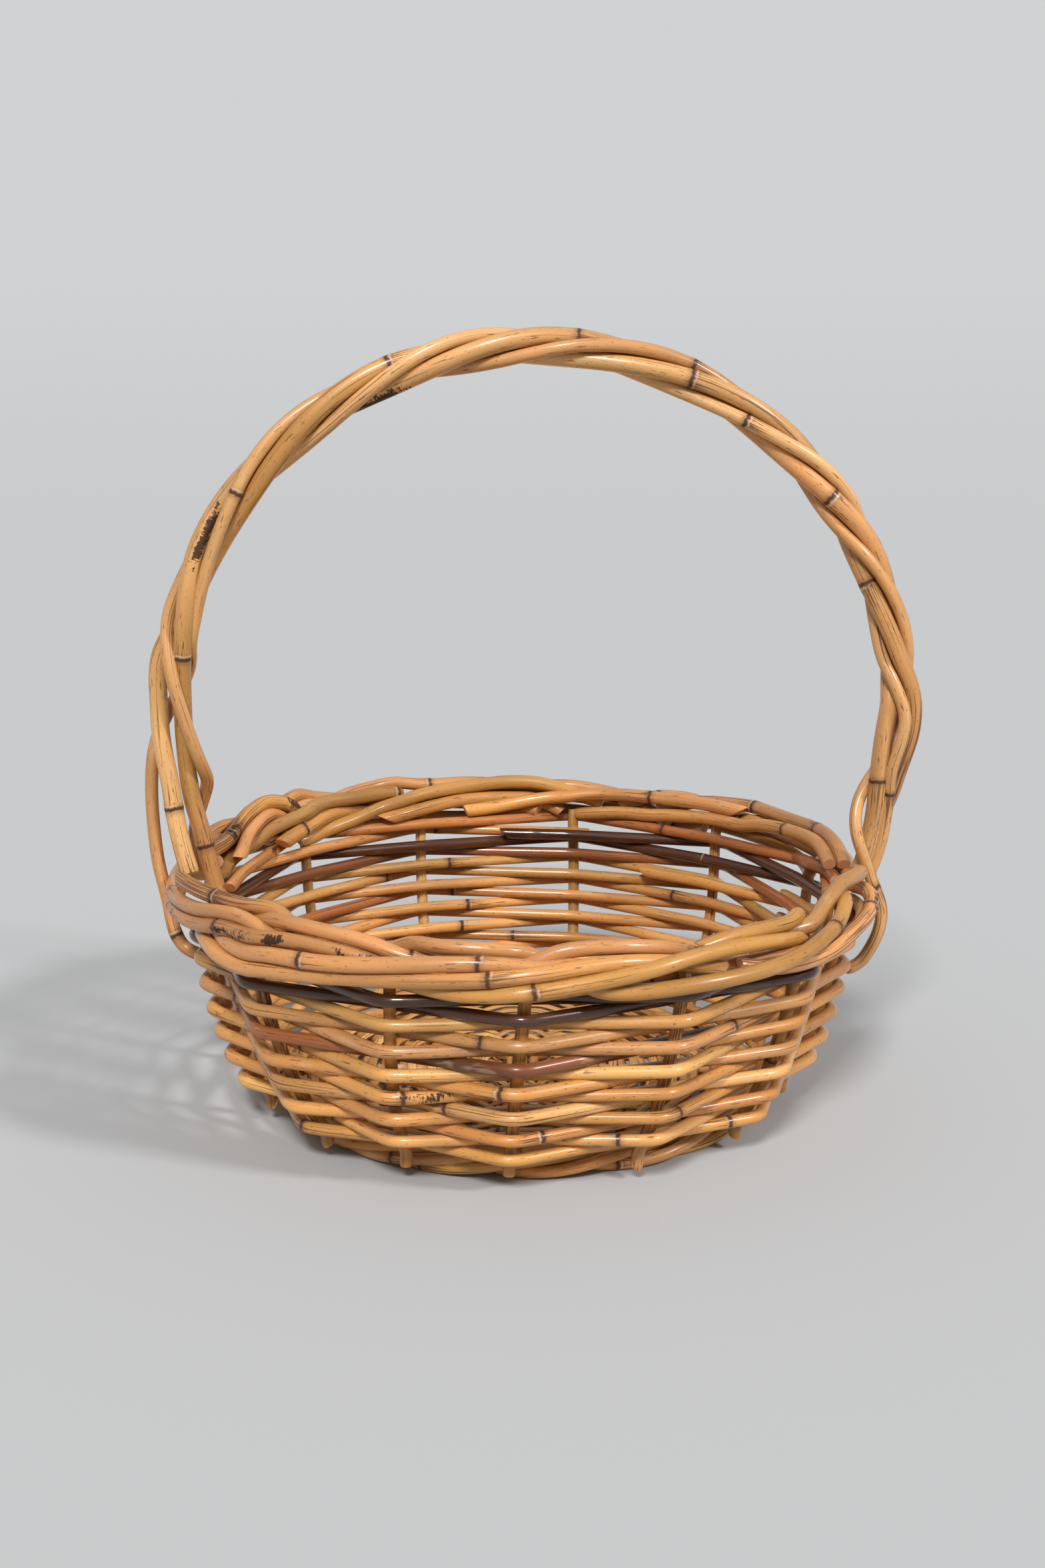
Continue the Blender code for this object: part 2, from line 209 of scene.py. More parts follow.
@dataclass
class Cane:
    """One round cane carried along a path, with its growth rings, colours, burns and cut ends.

    across is the direction that the angle round the cane starts from, square to which the section is
    laid out. flat squashes the section along the third direction, for split cane.
    """

    name: str
    path: np.ndarray
    radius: float
    skin: Skin
    seed: int
    across: Point | np.ndarray = (0.0, 0.0, 1.0)
    flat: float = 1.0
    slants: tuple[float, float] = (0.0, 0.0)
    taper: tuple[float, float] = (1.0, 1.0)
    sides: int = 12
    step: float = 0.0025
    closed: bool = False

    WANDER, WANDER_LENGTH = 0.035, 0.09
    RING_SWELL, RING_WIDTH, RING_SHIFT = 0.055, 0.0032, 0.001
    RIM_EASE, RIM_WIDTH = 0.10, 0.0006

    def build(self, material: bpy.types.Material, slot: str, nodes: Sequence[str] = ()) -> bpy.types.Object:
        """Make the cane's object, dress it and fasten it to the basket.

        Args:
            material: Its finish.
            slot: The name of a material slot; not used.
            nodes: The CAD nodes that it stands for.

        Returns:
            The new object.
        """
        mesh = bpy.data.meshes.new(self.name)
        self._fill(mesh)
        mesh.materials.append(material)
        cane = bpy.data.objects.new(self.name, mesh)
        bpy.context.scene.collection.objects.link(cane)
        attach(cane, ROOT)
        if nodes:
            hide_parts(*nodes)
        LOG.info("%s: %.2f m of cane, %d faces", self.name, arc_lengths(self.path)[-1], len(mesh.polygons))
        return cane

    def _joint_places(self, length: float, rng: np.random.Generator) -> np.ndarray:
        """The growth rings' distances from the start, with one beyond each end so that all are signed."""
        if self.skin.joints is None:
            gaps = rng.uniform(0.14, 0.33, int(length / 0.14) + 2)
            places = np.cumsum(gaps) - rng.uniform(0.02, 0.14)
            places = places[places < length - 0.004]
        else:
            places = np.array(self.skin.joints, float)
        return np.concatenate([[-1.0], places, [length + 1.0]])

    def _fill(self, mesh: bpy.types.Mesh) -> None:
        """Put the cane's surface and its marks into a mesh.

        The surface is a function of the distance s along the path and the angle a round it: the path's
        point at s plus the radius times (across cos a + third sin a). Growth rings swell the radius by a
        narrow bell, and a slanted end shifts s near it by the slant times (1 - cos a) / 2.
        """
        rng = np.random.default_rng(self.seed)
        length = arc_lengths(self.path)[-1]
        rings = max(int(round(length / self.step)), 6)
        s = np.linspace(0.0, length, rings + (0 if self.closed else 1), endpoint=not self.closed)
        a = np.linspace(0.0, math.tau, self.sides, endpoint=False)
        joints = self._joint_places(length, rng)
        nearest = joints[np.abs(s[:, None] - joints[None, :]).argmin(axis=1)]
        beside = s - nearest
        wander = self.WANDER * smooth_noise(s, self.WANDER_LENGTH, rng)
        radius = self.radius * (1 + wander * (not self.closed))
        radius = radius * (1 + self.RING_SWELL * np.exp(-((beside - self.RING_SHIFT) / self.RING_WIDTH) ** 2))
        radius = radius * np.interp(s / length, (0.0, 1.0), self.taper)
        if not self.closed:
            from_end = np.minimum(s, length - s)
            radius = radius * (1 - self.RIM_EASE * np.exp(-(from_end / self.RIM_WIDTH) ** 2))
        where = self._slanted(s, a, length)
        centre, across, third = self._frames(where, length)
        out = across * np.cos(a)[None, :, None] + self.flat * third * np.sin(a)[None, :, None]
        points = centre + radius[:, None, None] * out
        self._store(mesh, points, s, a, radius, beside, length, rng)

    def _slanted(self, s: np.ndarray, a: np.ndarray, length: float) -> np.ndarray:
        """Each vertex's distance along the path, after the slanted cuts of the two ends."""
        where = np.repeat(s[:, None], len(a), axis=1)
        for slant, from_end, sign in ((self.slants[0], s, 1.0), (self.slants[1], length - s, -1.0)):
            if slant and not self.closed:
                room = min(abs(slant) * 2.5, 0.45 * length)
                fade = np.clip(1 - from_end / room, 0.0, 1.0)[:, None]
                lean = (1 - np.sign(slant) * np.cos(a)) / 2
                where = where + sign * fade * abs(slant) * lean[None, :]
        return where

    def _frames(self, where: np.ndarray, length: float) -> tuple[np.ndarray, np.ndarray, np.ndarray]:
        """The path's point, the section's first direction and its third direction at each distance."""
        path = self.path
        if self.closed:
            path = np.concatenate([path[:-1], path[:1]])
        along = arc_lengths(path)
        ahead = np.roll(path[:-1], -1, axis=0) if self.closed else path[1:]
        if self.closed:
            back = np.roll(path[:-1], 1, axis=0)
            tangents = unit(ahead - back)
            tangents = np.concatenate([tangents, tangents[:1]])
        else:
            tangents = unit(np.gradient(path, along, axis=0))
        start = np.broadcast_to(np.asarray(self.across, float), path.shape)
        first = unit(start - tangents * (start * tangents).sum(axis=1, keepdims=True))
        third = np.cross(tangents, first)

        def sample(values: np.ndarray) -> np.ndarray:
            """A per-sample vector at the distances asked for."""
            flat = where.ravel()
            found = [np.interp(flat, along, values[:, axis]) for axis in range(3)]
            return np.stack(found, axis=-1).reshape(*where.shape, 3)

        return sample(path), unit(sample(first)), unit(sample(third))

    def _store(self, mesh: bpy.types.Mesh, points: np.ndarray, s: np.ndarray, a: np.ndarray,
               radius: np.ndarray, beside: np.ndarray, length: float, rng: np.random.Generator) -> None:
        """Write the grid of points, its end caps and the marks that the finish reads.

        The grid's quads join each ring to the next. Each cap is a ring of its own, moved in a little,
        and a middle point, so that the cut face keeps a crisp edge and its own colour.
        """
        rings, sides = points.shape[:2]
        verts = points.reshape(-1, 3) + (AXIS_X, 0.0, 0.0)
        ring = np.arange(rings if self.closed else rings - 1)
        side = np.arange(sides)
        low = ring[:, None] * sides + side
        low_next = ring[:, None] * sides + (side + 1) % sides
        high = (ring[:, None] + 1) % rings * sides + side
        high_next = (ring[:, None] + 1) % rings * sides + (side + 1) % sides
        quads = np.stack([low, low_next, high_next, high], axis=-1).reshape(-1, 4)
        grain = np.stack([np.broadcast_to(radius[:, None] * np.cos(a), (rings, sides)),
                          np.broadcast_to(radius[:, None] * np.sin(a), (rings, sides)),
                          np.broadcast_to(s[:, None], (rings, sides))], axis=-1)
        grain = grain.reshape(-1, 3) + rng.uniform(-0.6, 0.6, 3)
        tint = np.repeat(self._tints(s / length, rng), sides, axis=0)
        marks = np.zeros((rings * sides, 4))
        marks[:, 0] = np.repeat(np.clip(1.6 - np.abs(beside) / 0.020, 0.0, 1.0), sides)
        marks[:, 1] = self._burns(s, a).ravel()
        marks[:, 3] = np.repeat(np.clip(self.skin.streaks * (1 + 0.6 * smooth_noise(s, 0.05, rng)), 0, 1),
                                sides)
        ring_gap = np.repeat(beside, sides)
        triangles = np.empty((0, 3), int)
        if not self.closed:
            caps = []
            for first, outward in ((0, False), (rings - 1, True)):
                base = len(verts)
                rim = points[first] + (AXIS_X, 0.0, 0.0)
                middle = rim.mean(axis=0)
                verts = np.concatenate([verts, rim, middle[None]])
                hub = base + sides
                fan = np.stack([base + side, base + (side + 1) % sides, np.full(sides, hub)], axis=-1)
                caps.append(fan if outward else fan[:, ::-1])
                row = slice(first * sides, (first + 1) * sides)
                face_grain = np.concatenate([grain[row], [grain[row].mean(axis=0)]])
                grain = np.concatenate([grain, face_grain])
                tint = np.concatenate([tint, tint[row], tint[row][:1]])
                pith = np.zeros((sides + 1, 4))
                pith[:, 2] = 1.0
                marks = np.concatenate([marks, pith])
                ring_gap = np.concatenate([ring_gap, np.full(sides + 1, 0.05)])
            triangles = np.concatenate(caps)
        self._write_faces(mesh, verts, quads, triangles)
        self._write_attribute(mesh, "grain", "FLOAT_VECTOR", "vector", grain)
        self._write_attribute(mesh, "tint", "FLOAT_COLOR", "color",
                              np.concatenate([tint, np.ones((len(tint), 1))], axis=1))
        self._write_attribute(mesh, "marks", "FLOAT_COLOR", "color", marks)
        self._write_attribute(mesh, "joint", "FLOAT", "value", ring_gap)

    @staticmethod
    def _write_faces(mesh: bpy.types.Mesh, verts: np.ndarray, quads: np.ndarray,
                     triangles: np.ndarray) -> None:
        """Fill the mesh with vertices and faces, and shade it smooth."""
        mesh.vertices.add(len(verts))
        mesh.vertices.foreach_set("co", verts.astype(np.float32).ravel())
        corners = np.concatenate([quads.ravel(), triangles.ravel()]).astype(np.int32)
        totals = np.concatenate([np.full(len(quads), 4), np.full(len(triangles), 3)])
        starts = np.concatenate([[0], np.cumsum(totals)[:-1]]).astype(np.int32)
        mesh.loops.add(len(corners))
        mesh.loops.foreach_set("vertex_index", corners)
        mesh.polygons.add(len(totals))
        mesh.polygons.foreach_set("loop_start", starts)
        mesh.polygons.foreach_set("use_smooth", np.ones(len(totals), bool))
        mesh.update(calc_edges=True)
        mesh.validate()

    @staticmethod
    def _write_attribute(mesh: bpy.types.Mesh, name: str, kind: str, key: str, values: np.ndarray) -> None:
        """Store one value per vertex under a name."""
        attribute = mesh.attributes.new(name, kind, "POINT")
        attribute.data.foreach_set(key, np.ascontiguousarray(values, np.float32).ravel())

    def _tints(self, share: np.ndarray, rng: np.random.Generator) -> np.ndarray:
        """The cane's colour at shares of its length: its tones blended, a little lighter and darker."""
        places = [place for place, _ in self.skin.tones]
        colours = np.array([tone.value for _, tone in self.skin.tones])
        blend = np.stack([np.interp(share, places, colours[:, k]) for k in range(3)], axis=-1)
        drift = smooth_noise(share * 6.0, 1.0, rng)[:, None] * (0.07, 0.09, 0.11)
        own = self.skin.shade * rng.uniform(0.92, 1.08) * (1 + rng.uniform(-0.04, 0.04, 3) * (0.3, 1.0, 1.6))
        return np.clip(blend * own * (1 + drift), 0.0, 1.0)

    def _burns(self, s: np.ndarray, a: np.ndarray) -> np.ndarray:
        """How burnt the skin is at each ring and angle: a bell along the cane times one round it."""
        burnt = np.zeros((len(s), len(a)))
        for scorch in self.skin.scorches:
            off = (np.degrees(a) - scorch.side + 180.0) % 360.0 - 180.0
            round_it = np.exp(-(off / scorch.spread) ** 2)
            along = np.exp(-((s - scorch.at) / (scorch.length / 2)) ** 4)
            burnt = np.maximum(burnt, scorch.strength * along[:, None] * round_it[None, :])
        return burnt


class Wiring:
    """Adds and joins shader nodes in one tree."""

    def __init__(self, tree: bpy.types.NodeTree) -> None:
        """Keep the tree that nodes are added to.

        Args:
            tree: The material's or the group's node tree.
        """
        self.tree = tree

    def node(self, kind: str, **settings: object) -> bpy.types.Node:
        """Add a node of a kind and set its properties."""
        node = self.tree.nodes.new(kind)
        for name, value in settings.items():
            setattr(node, name, value)
        return node

    def put(self, socket: bpy.types.NodeSocket, value: object) -> None:
        """Join a socket to another, or give it a plain value."""
        if isinstance(value, bpy.types.NodeSocket):
            self.tree.links.new(value, socket)
        else:
            socket.default_value = value

    def math(self, operation: str, *values: object) -> bpy.types.NodeSocket:
        """A Math node's result on up to three values."""
        node = self.node("ShaderNodeMath", operation=operation)
        for socket, value in zip(node.inputs, values):
            self.put(socket, value)
        return node.outputs[0]

    def plus(self, first: object, second: object) -> bpy.types.NodeSocket:
        """The sum of two values."""
        return self.math("ADD", first, second)

    def minus(self, first: object, second: object) -> bpy.types.NodeSocket:
        """The first value less the second."""
        return self.math("SUBTRACT", first, second)

    def times(self, first: object, second: object) -> bpy.types.NodeSocket:
        """The product of two values."""
        return self.math("MULTIPLY", first, second)

    def ease(self, value: object, low: object, high: object) -> bpy.types.NodeSocket:
        """0 below low and 1 above high, with a smooth rise between."""
        node = self.node("ShaderNodeMapRange", interpolation_type="SMOOTHSTEP")
        self.put(node.inputs["Value"], value)
        self.put(node.inputs["From Min"], low)
        self.put(node.inputs["From Max"], high)
        return node.outputs["Result"]

    def noise(self, place: bpy.types.NodeSocket, across: float, along: float,
              detail: float = 2.0) -> bpy.types.NodeSocket:
        """Noise, about 0.5 in the middle, on a place scaled by so much across the cane and along it."""
        scaled = self.node("ShaderNodeVectorMath", operation="MULTIPLY")
        self.put(scaled.inputs[0], place)
        scaled.inputs[1].default_value = (across, across, along)
        noise = self.node("ShaderNodeTexNoise", noise_dimensions="3D")
        self.put(noise.inputs["Vector"], scaled.outputs[0])
        noise.inputs["Scale"].default_value = 1.0
        noise.inputs["Detail"].default_value = detail
        return noise.outputs["Fac"]

    def blend(self, factor: object, under: object, over: object, mode: str = "MIX") -> bpy.types.NodeSocket:
        """One colour laid over another by a factor."""
        node = self.node("ShaderNodeMix", data_type="RGBA", blend_type=mode)
        self.put(node.inputs["Factor"], factor)
        self.put(node.inputs["A"], under)
        self.put(node.inputs["B"], over)
        return next(s for s in node.outputs if s.type == "RGBA")


def opaque(colour: Colour) -> tuple[float, float, float, float]:
    """A colour with full alpha."""
    return (*colour, 1.0)


class SkinGroup:
    """The shader group that turns a cane's marks into its colour, roughness and relief."""

    NAME = "cane_skin"
    SETTINGS = (("Streak Colour", "NodeSocketColor"), ("Ring Colour", "NodeSocketColor"),
                ("Burn Colour", "NodeSocketColor"), ("Pith Colour", "NodeSocketColor"),
                ("Mottle", "NodeSocketFloat"), ("Specks", "NodeSocketFloat"),
                ("Roughness", "NodeSocketFloat"), ("Wear and Sheen", "NodeSocketFloat"),
                ("Coat", "NodeSocketFloat"))
    RESULTS = (("Colour", "NodeSocketColor"), ("Roughness", "NodeSocketFloat"),
               ("Coat", "NodeSocketFloat"), ("Height", "NodeSocketFloat"))

    def __init__(self) -> None:
        """Build the group's sockets and nodes once."""
        self.tree = bpy.data.node_groups.new(self.NAME, "ShaderNodeTree")
        for name, kind in self.SETTINGS:
            self.tree.interface.new_socket(name, in_out="INPUT", socket_type=kind)
        for name, kind in self.RESULTS:
            self.tree.interface.new_socket(name, in_out="OUTPUT", socket_type=kind)
        self._wire()

    def _wire(self) -> None:
        """Lay streaks, specks, growth rings, burns, cut pith and pale patches of wear and painted sheen over
        the cane's own tint.
        """
        w = Wiring(self.tree)
        given = w.node("NodeGroupInput").outputs
        grain = w.node("ShaderNodeAttribute", attribute_name="grain").outputs["Vector"]
        tint = w.node("ShaderNodeAttribute", attribute_name="tint").outputs["Color"]
        marks = w.node("ShaderNodeAttribute", attribute_name="marks")
        joint = w.node("ShaderNodeAttribute", attribute_name="joint").outputs["Fac"]
        split = w.node("ShaderNodeSeparateColor")
        w.put(split.inputs[0], marks.outputs["Color"])
        ringed, burnt, cut = split.outputs[:3]
        striped = marks.outputs["Alpha"]
        near_ring = w.minus(1.0, w.ease(w.math("ABSOLUTE", joint), 0.001, 0.022))
        near_ring = w.times(near_ring, ringed)
        after_ring = w.times(near_ring, w.ease(joint, 0.0, 0.001))
        amount = w.plus(striped, w.times(after_ring, 0.40))
        edge = w.minus(0.73, w.times(amount, 0.25))
        stripes = w.noise(grain, 1150.0, 13.0, 2.5)
        streak = w.ease(stripes, edge, w.plus(edge, 0.07))
        fine = w.noise(grain, 3600.0, 34.0, 2.0)
        patch = w.noise(grain, 70.0, 11.0, 2.0)
        # Pale patches: partly worn varnish, partly painted sheen that stands in for highlights on the canes.
        wear_and_sheen_patches = w.times(w.ease(w.noise(grain, 240.0, 55.0, 3.0), 0.60, 0.72), given["Wear and Sheen"])
        dots = w.ease(w.noise(grain, 1500.0, 420.0, 2.0), 0.66, 0.71)
        dashes = w.ease(w.noise(grain, 900.0, 95.0, 2.0), 0.66, 0.70)
        specks = w.times(w.math("MAXIMUM", dots, dashes), given["Specks"])
        wobble = w.times(w.minus(w.noise(grain, 420.0, 60.0), 0.5), 0.0022)
        off_ring = w.math("ABSOLUTE", w.plus(joint, wobble))
        line = w.times(ringed, w.minus(1.0, w.ease(off_ring, 0.0005, 0.0015)))
        beyond = w.math("ABSOLUTE", w.minus(w.plus(joint, wobble), 0.0021))
        scar = w.times(w.minus(1.0, w.ease(beyond, 0.0003, 0.0009)),
                      w.times(w.ease(patch, 0.42, 0.60), w.times(ringed, 0.55)))
        halo = w.times(w.minus(1.0, w.ease(off_ring, 0.0006, 0.0050)),
                      w.times(ringed, 0.45))
        ticks = w.noise(grain, 260.0, 1050.0, 2.0)
        blots = w.noise(grain, 330.0, 120.0, 3.0)
        ragged = w.plus(w.minus(ticks, 0.5), w.times(w.minus(blots, 0.5), 1.2))
        lit = w.ease(burnt, 0.02, 0.10)
        burn = w.times(w.ease(w.plus(burnt, ragged), 0.44, 0.66), lit)
        pores = w.noise(grain, 2600.0, 2600.0, 1.0)
        shade = w.plus(w.times(w.minus(patch, 0.5), given["Mottle"]), 1.0)
        shade = w.plus(shade, w.times(w.minus(fine, 0.5), 0.34))
        grey = w.node("ShaderNodeCombineColor")
        for socket in grey.inputs[:3]:
            w.put(socket, shade)
        colour = w.blend(1.0, tint, grey.outputs[0], "MULTIPLY")
        # Lays the pale colour of the patches, worn varnish together with painted sheen.
        colour = w.blend(wear_and_sheen_patches, colour, opaque((0.62, 0.45, 0.30)))
        colour = w.blend(w.times(streak, 0.85), colour, given["Streak Colour"])
        colour = w.blend(specks, colour, given["Streak Colour"])
        colour = w.blend(halo, colour, given["Streak Colour"])
        colour = w.blend(line, colour, given["Ring Colour"])
        colour = w.blend(scar, colour, opaque((0.62, 0.47, 0.33)))
        colour = w.blend(w.times(burn, 0.95), colour, given["Burn Colour"])
        pith = w.blend(w.times(w.ease(pores, 0.55, 0.68), 0.45), given["Pith Colour"],
                       opaque((0.30, 0.120, 0.045)))
        colour = w.blend(cut, colour, pith)
        rough = w.plus(given["Roughness"], w.times(streak, 0.22))
        rough = w.plus(rough, w.times(w.plus(cut, burn), 0.30))
        height = w.minus(w.times(fine, 0.30), w.times(streak, 0.45))
        height = w.minus(height, w.times(line, 1.2))
        height = w.plus(height, w.times(patch, 1.6))
        height = w.minus(height, w.times(pores, cut))
        out = w.node("NodeGroupOutput").inputs
        w.put(out["Colour"], colour)
        w.put(out["Roughness"], rough)
        dulled = w.minus(1.0, w.math("MAXIMUM", cut, w.times(burn, 0.75)))
        w.put(out["Coat"], w.times(given["Coat"], dulled))
        w.put(out["Height"], height)


@dataclass(frozen=True)
class CaneFinish:
    """One varnished cane finish, whose colours lie over each cane's own tint."""

    name: str
    streak: Colour = (0.105, 0.036, 0.011)
    ring: Colour = (0.075, 0.025, 0.010)
    burn: Colour = (0.022, 0.0065, 0.0022)
    pith: Colour = (0.780, 0.400, 0.190)
    mottle: float = 0.95
    specks: float = 0.80
    # How strongly the pale patches are laid on: worn varnish together with painted sheen.
    wear_and_sheen: float = 0.25
    roughness: float = 0.36
    coat: float = 0.34
    coat_roughness: float = 0.15
    relief: float = 0.55
    specular: float = 0.35

    def material(self, group: SkinGroup) -> bpy.types.Material:
        """The finish as a material.

        Args:
            group: The shared cane skin.

        Returns:
            A new material whose shader reads the group.
        """
        material = bpy.data.materials.new(self.name)
        material.use_nodes = True
        tree = material.node_tree
        wiring = Wiring(tree)
        shader = tree.nodes["Principled BSDF"]
        skin = wiring.node("ShaderNodeGroup", node_tree=group.tree)
        values = {"Streak Colour": opaque(self.streak), "Ring Colour": opaque(self.ring),
                  "Burn Colour": opaque(self.burn), "Pith Colour": opaque(self.pith),
                  "Mottle": self.mottle, "Specks": self.specks, "Roughness": self.roughness,
                  "Wear and Sheen": self.wear_and_sheen, "Coat": self.coat}
        for name, value in values.items():
            skin.inputs[name].default_value = value
        bump = wiring.node("ShaderNodeBump")
        bump.inputs["Strength"].default_value = self.relief
        bump.inputs["Distance"].default_value = 0.00035
        wiring.put(bump.inputs["Height"], skin.outputs["Height"])
        wiring.put(shader.inputs["Base Color"], skin.outputs["Colour"])
        wiring.put(shader.inputs["Roughness"], skin.outputs["Roughness"])
        wiring.put(shader.inputs["Coat Weight"], skin.outputs["Coat"])
        wiring.put(shader.inputs["Normal"], bump.outputs["Normal"])
        shader.inputs["Coat Roughness"].default_value = self.coat_roughness
        shader.inputs["Specular IOR Level"].default_value = self.specular
        return material


@dataclass
class Finishes:
    """Every finish on the basket."""

    group: SkinGroup = field(default_factory=SkinGroup)

    def __post_init__(self) -> None:
        """Make the materials."""
        self.weaver = CaneFinish("varnished_weaver").material(self.group)
        self.dark_weaver = CaneFinish("smoked_weaver", streak=(0.085, 0.026, 0.010), mottle=0.9,
                                      specks=0.3, wear_and_sheen=0.06, roughness=0.32, coat=0.75,
                                      coat_roughness=0.10, pith=(0.30, 0.12, 0.05),
                                      specular=0.25).material(self.group)
        self.stake = CaneFinish("varnished_stake", specks=0.8, mottle=0.9, roughness=0.40,
                                coat=0.15).material(self.group)
        self.border = CaneFinish("border_cane", specks=0.65, wear_and_sheen=0.20).material(self.group)
        self.foot = CaneFinish("foot_cane", mottle=0.9, roughness=0.40, coat=0.18).material(self.group)
        self.floor = CaneFinish("split_floor_cane", streak=(0.090, 0.038, 0.014), mottle=0.9,
                                specks=0.8, wear_and_sheen=0.35, roughness=0.52, coat=0.05,
                                relief=0.9).material(self.group)
        self.handle = CaneFinish("handle_cane", specks=0.80, wear_and_sheen=0.22).material(self.group)


@dataclass
class Wall:
    """The basket's side: its outline, its stakes' places and the spiral, with the same values as the CAD."""

    outline: tuple[tuple[float, float], ...] = (
        (0.000, 0.1405), (0.010, 0.1455), (0.018, 0.1505), (0.030, 0.1575), (0.045, 0.1645),
        (0.058, 0.1685), (0.071, 0.1720), (0.084, 0.1750), (0.106, 0.1780), (0.125, 0.1805))
    stake_foot: float = 0.0085
    stake_top: float = 0.1145
    azimuths: tuple[tuple[float, float], ...] = (
        (0.5, -2.7), (26.7, 23.5), (54.0, 50.0), (81.0, 79.0), (108.0, 107.0), (137.5, 135.0),
        (169.5, 168.0), (201.5, 203.0), (229.0, 231.0), (258.0, 259.0), (286.0, 291.0),
        (308.5, 316.0), (338.5, 336.0))
    front_row: float = 0.1039
    pitch: float = 0.0069
    back_dip: float = 0.0040
    level_row: float = 0.0180
    stake_radius: float = 0.0032
    weaver_radius: float = 0.0033
    gap: float = 0.0003

    def radius(self, height: np.ndarray) -> np.ndarray:
        """The wall's radius at heights, eased through the outline's points."""
        heights, radii = np.array(self.outline).T
        fine = np.linspace(heights[0], heights[-1], 126)
        raw = np.interp(fine, heights, radii)
        soft = np.convolve(np.pad(raw, 4, mode="edge"), np.ones(9) / 9, "valid")
        ends = np.minimum(fine - fine[0], fine[-1] - fine) / 0.006
        return np.interp(height, fine, np.where(ends < 1, raw, soft))

    def azimuth(self, index: int, height: np.ndarray) -> np.ndarray:
        """The azimuth of a stake at heights, between those of its foot and its top."""
        top, foot = self.azimuths[index % len(self.azimuths)]
        share = np.clip((height - self.stake_foot) / (self.stake_top - self.stake_foot), 0.0, 1.0)
        return foot + (top - foot) * share

    def row_height(self, step: float) -> float:
        """The height of the spiral of weaving at a step from stake to stake, 0 at the front stake."""
        count = len(self.azimuths)
        climb = self.front_row + self.pitch * step / count
        behind = (1 - math.cos(math.radians(self.azimuths[int(step) % count][0]))) / 2
        return climb - self.back_dip * behind * max(climb - self.level_row, 0.0) / (
            self.front_row - self.level_row)


@dataclass
class Stakes:
    """The upright canes of the side, from their cut feet up into the border."""

    wall: Wall
    radius: float = 0.0034
    top: float = 0.1225
    foot: float = 0.0072
    splay: float = 0.0042
    splay_height: float = 0.0050
    ribbed: tuple[int, ...] = (1, 5, 9)

    def build(self, finishes: Finishes) -> None:
        """Make a cane for each stake.

        Args:
            finishes: The basket's materials.
        """
        tones = (Tone.HONEY, Tone.TAN, Tone.OLIVE, Tone.HONEY, Tone.GOLD, Tone.HONEY, Tone.OLIVE,
                 Tone.STRAW, Tone.OLIVE, Tone.HONEY, Tone.TAN, Tone.GOLD, Tone.HONEY)
        for index, tone in enumerate(tones):
            height = np.linspace(self.foot, self.top, 60)
            azimuth = self.wall.azimuth(index, height)
            splay = self.splay * np.exp(-((height - self.foot) / self.splay_height) ** 2)
            path = ring_points(azimuth, self.wall.radius(height) + splay, height)
            across = ring_points(np.array([azimuth.mean()]), 1.0, 0.0)[0]
            skin = Skin(((0.0, tone), (1.0, tone)), streaks=0.85 if index in self.ribbed else 0.42,
                        shade=0.86)
            Cane(f"upright_{index + 1:02d}", path, self.radius, skin, 100 + index,
                 across=(across[0], across[1], 0.0), slants=(0.0012 if index % 3 else -0.0010, 0.0),
                 taper=(1.02, 0.96)).build(finishes.stake, "stake", [f"stake_{index + 1:02d}"])


@dataclass(frozen=True)
class WovenLength:
    """One cane of the weaving: where its spiral starts and ends in steps, and its look.

    It is wound downwards, so first is above last, and both are odd steps, inside a stake. tucked says
    whether its start and its end lie inside the cane that they overlap, where they can be seen.
    """

    first: int
    last: int
    skin: Skin
    tucked: tuple[bool, bool] = (True, False)
    radius: float = 0.0034
    dark: bool = False


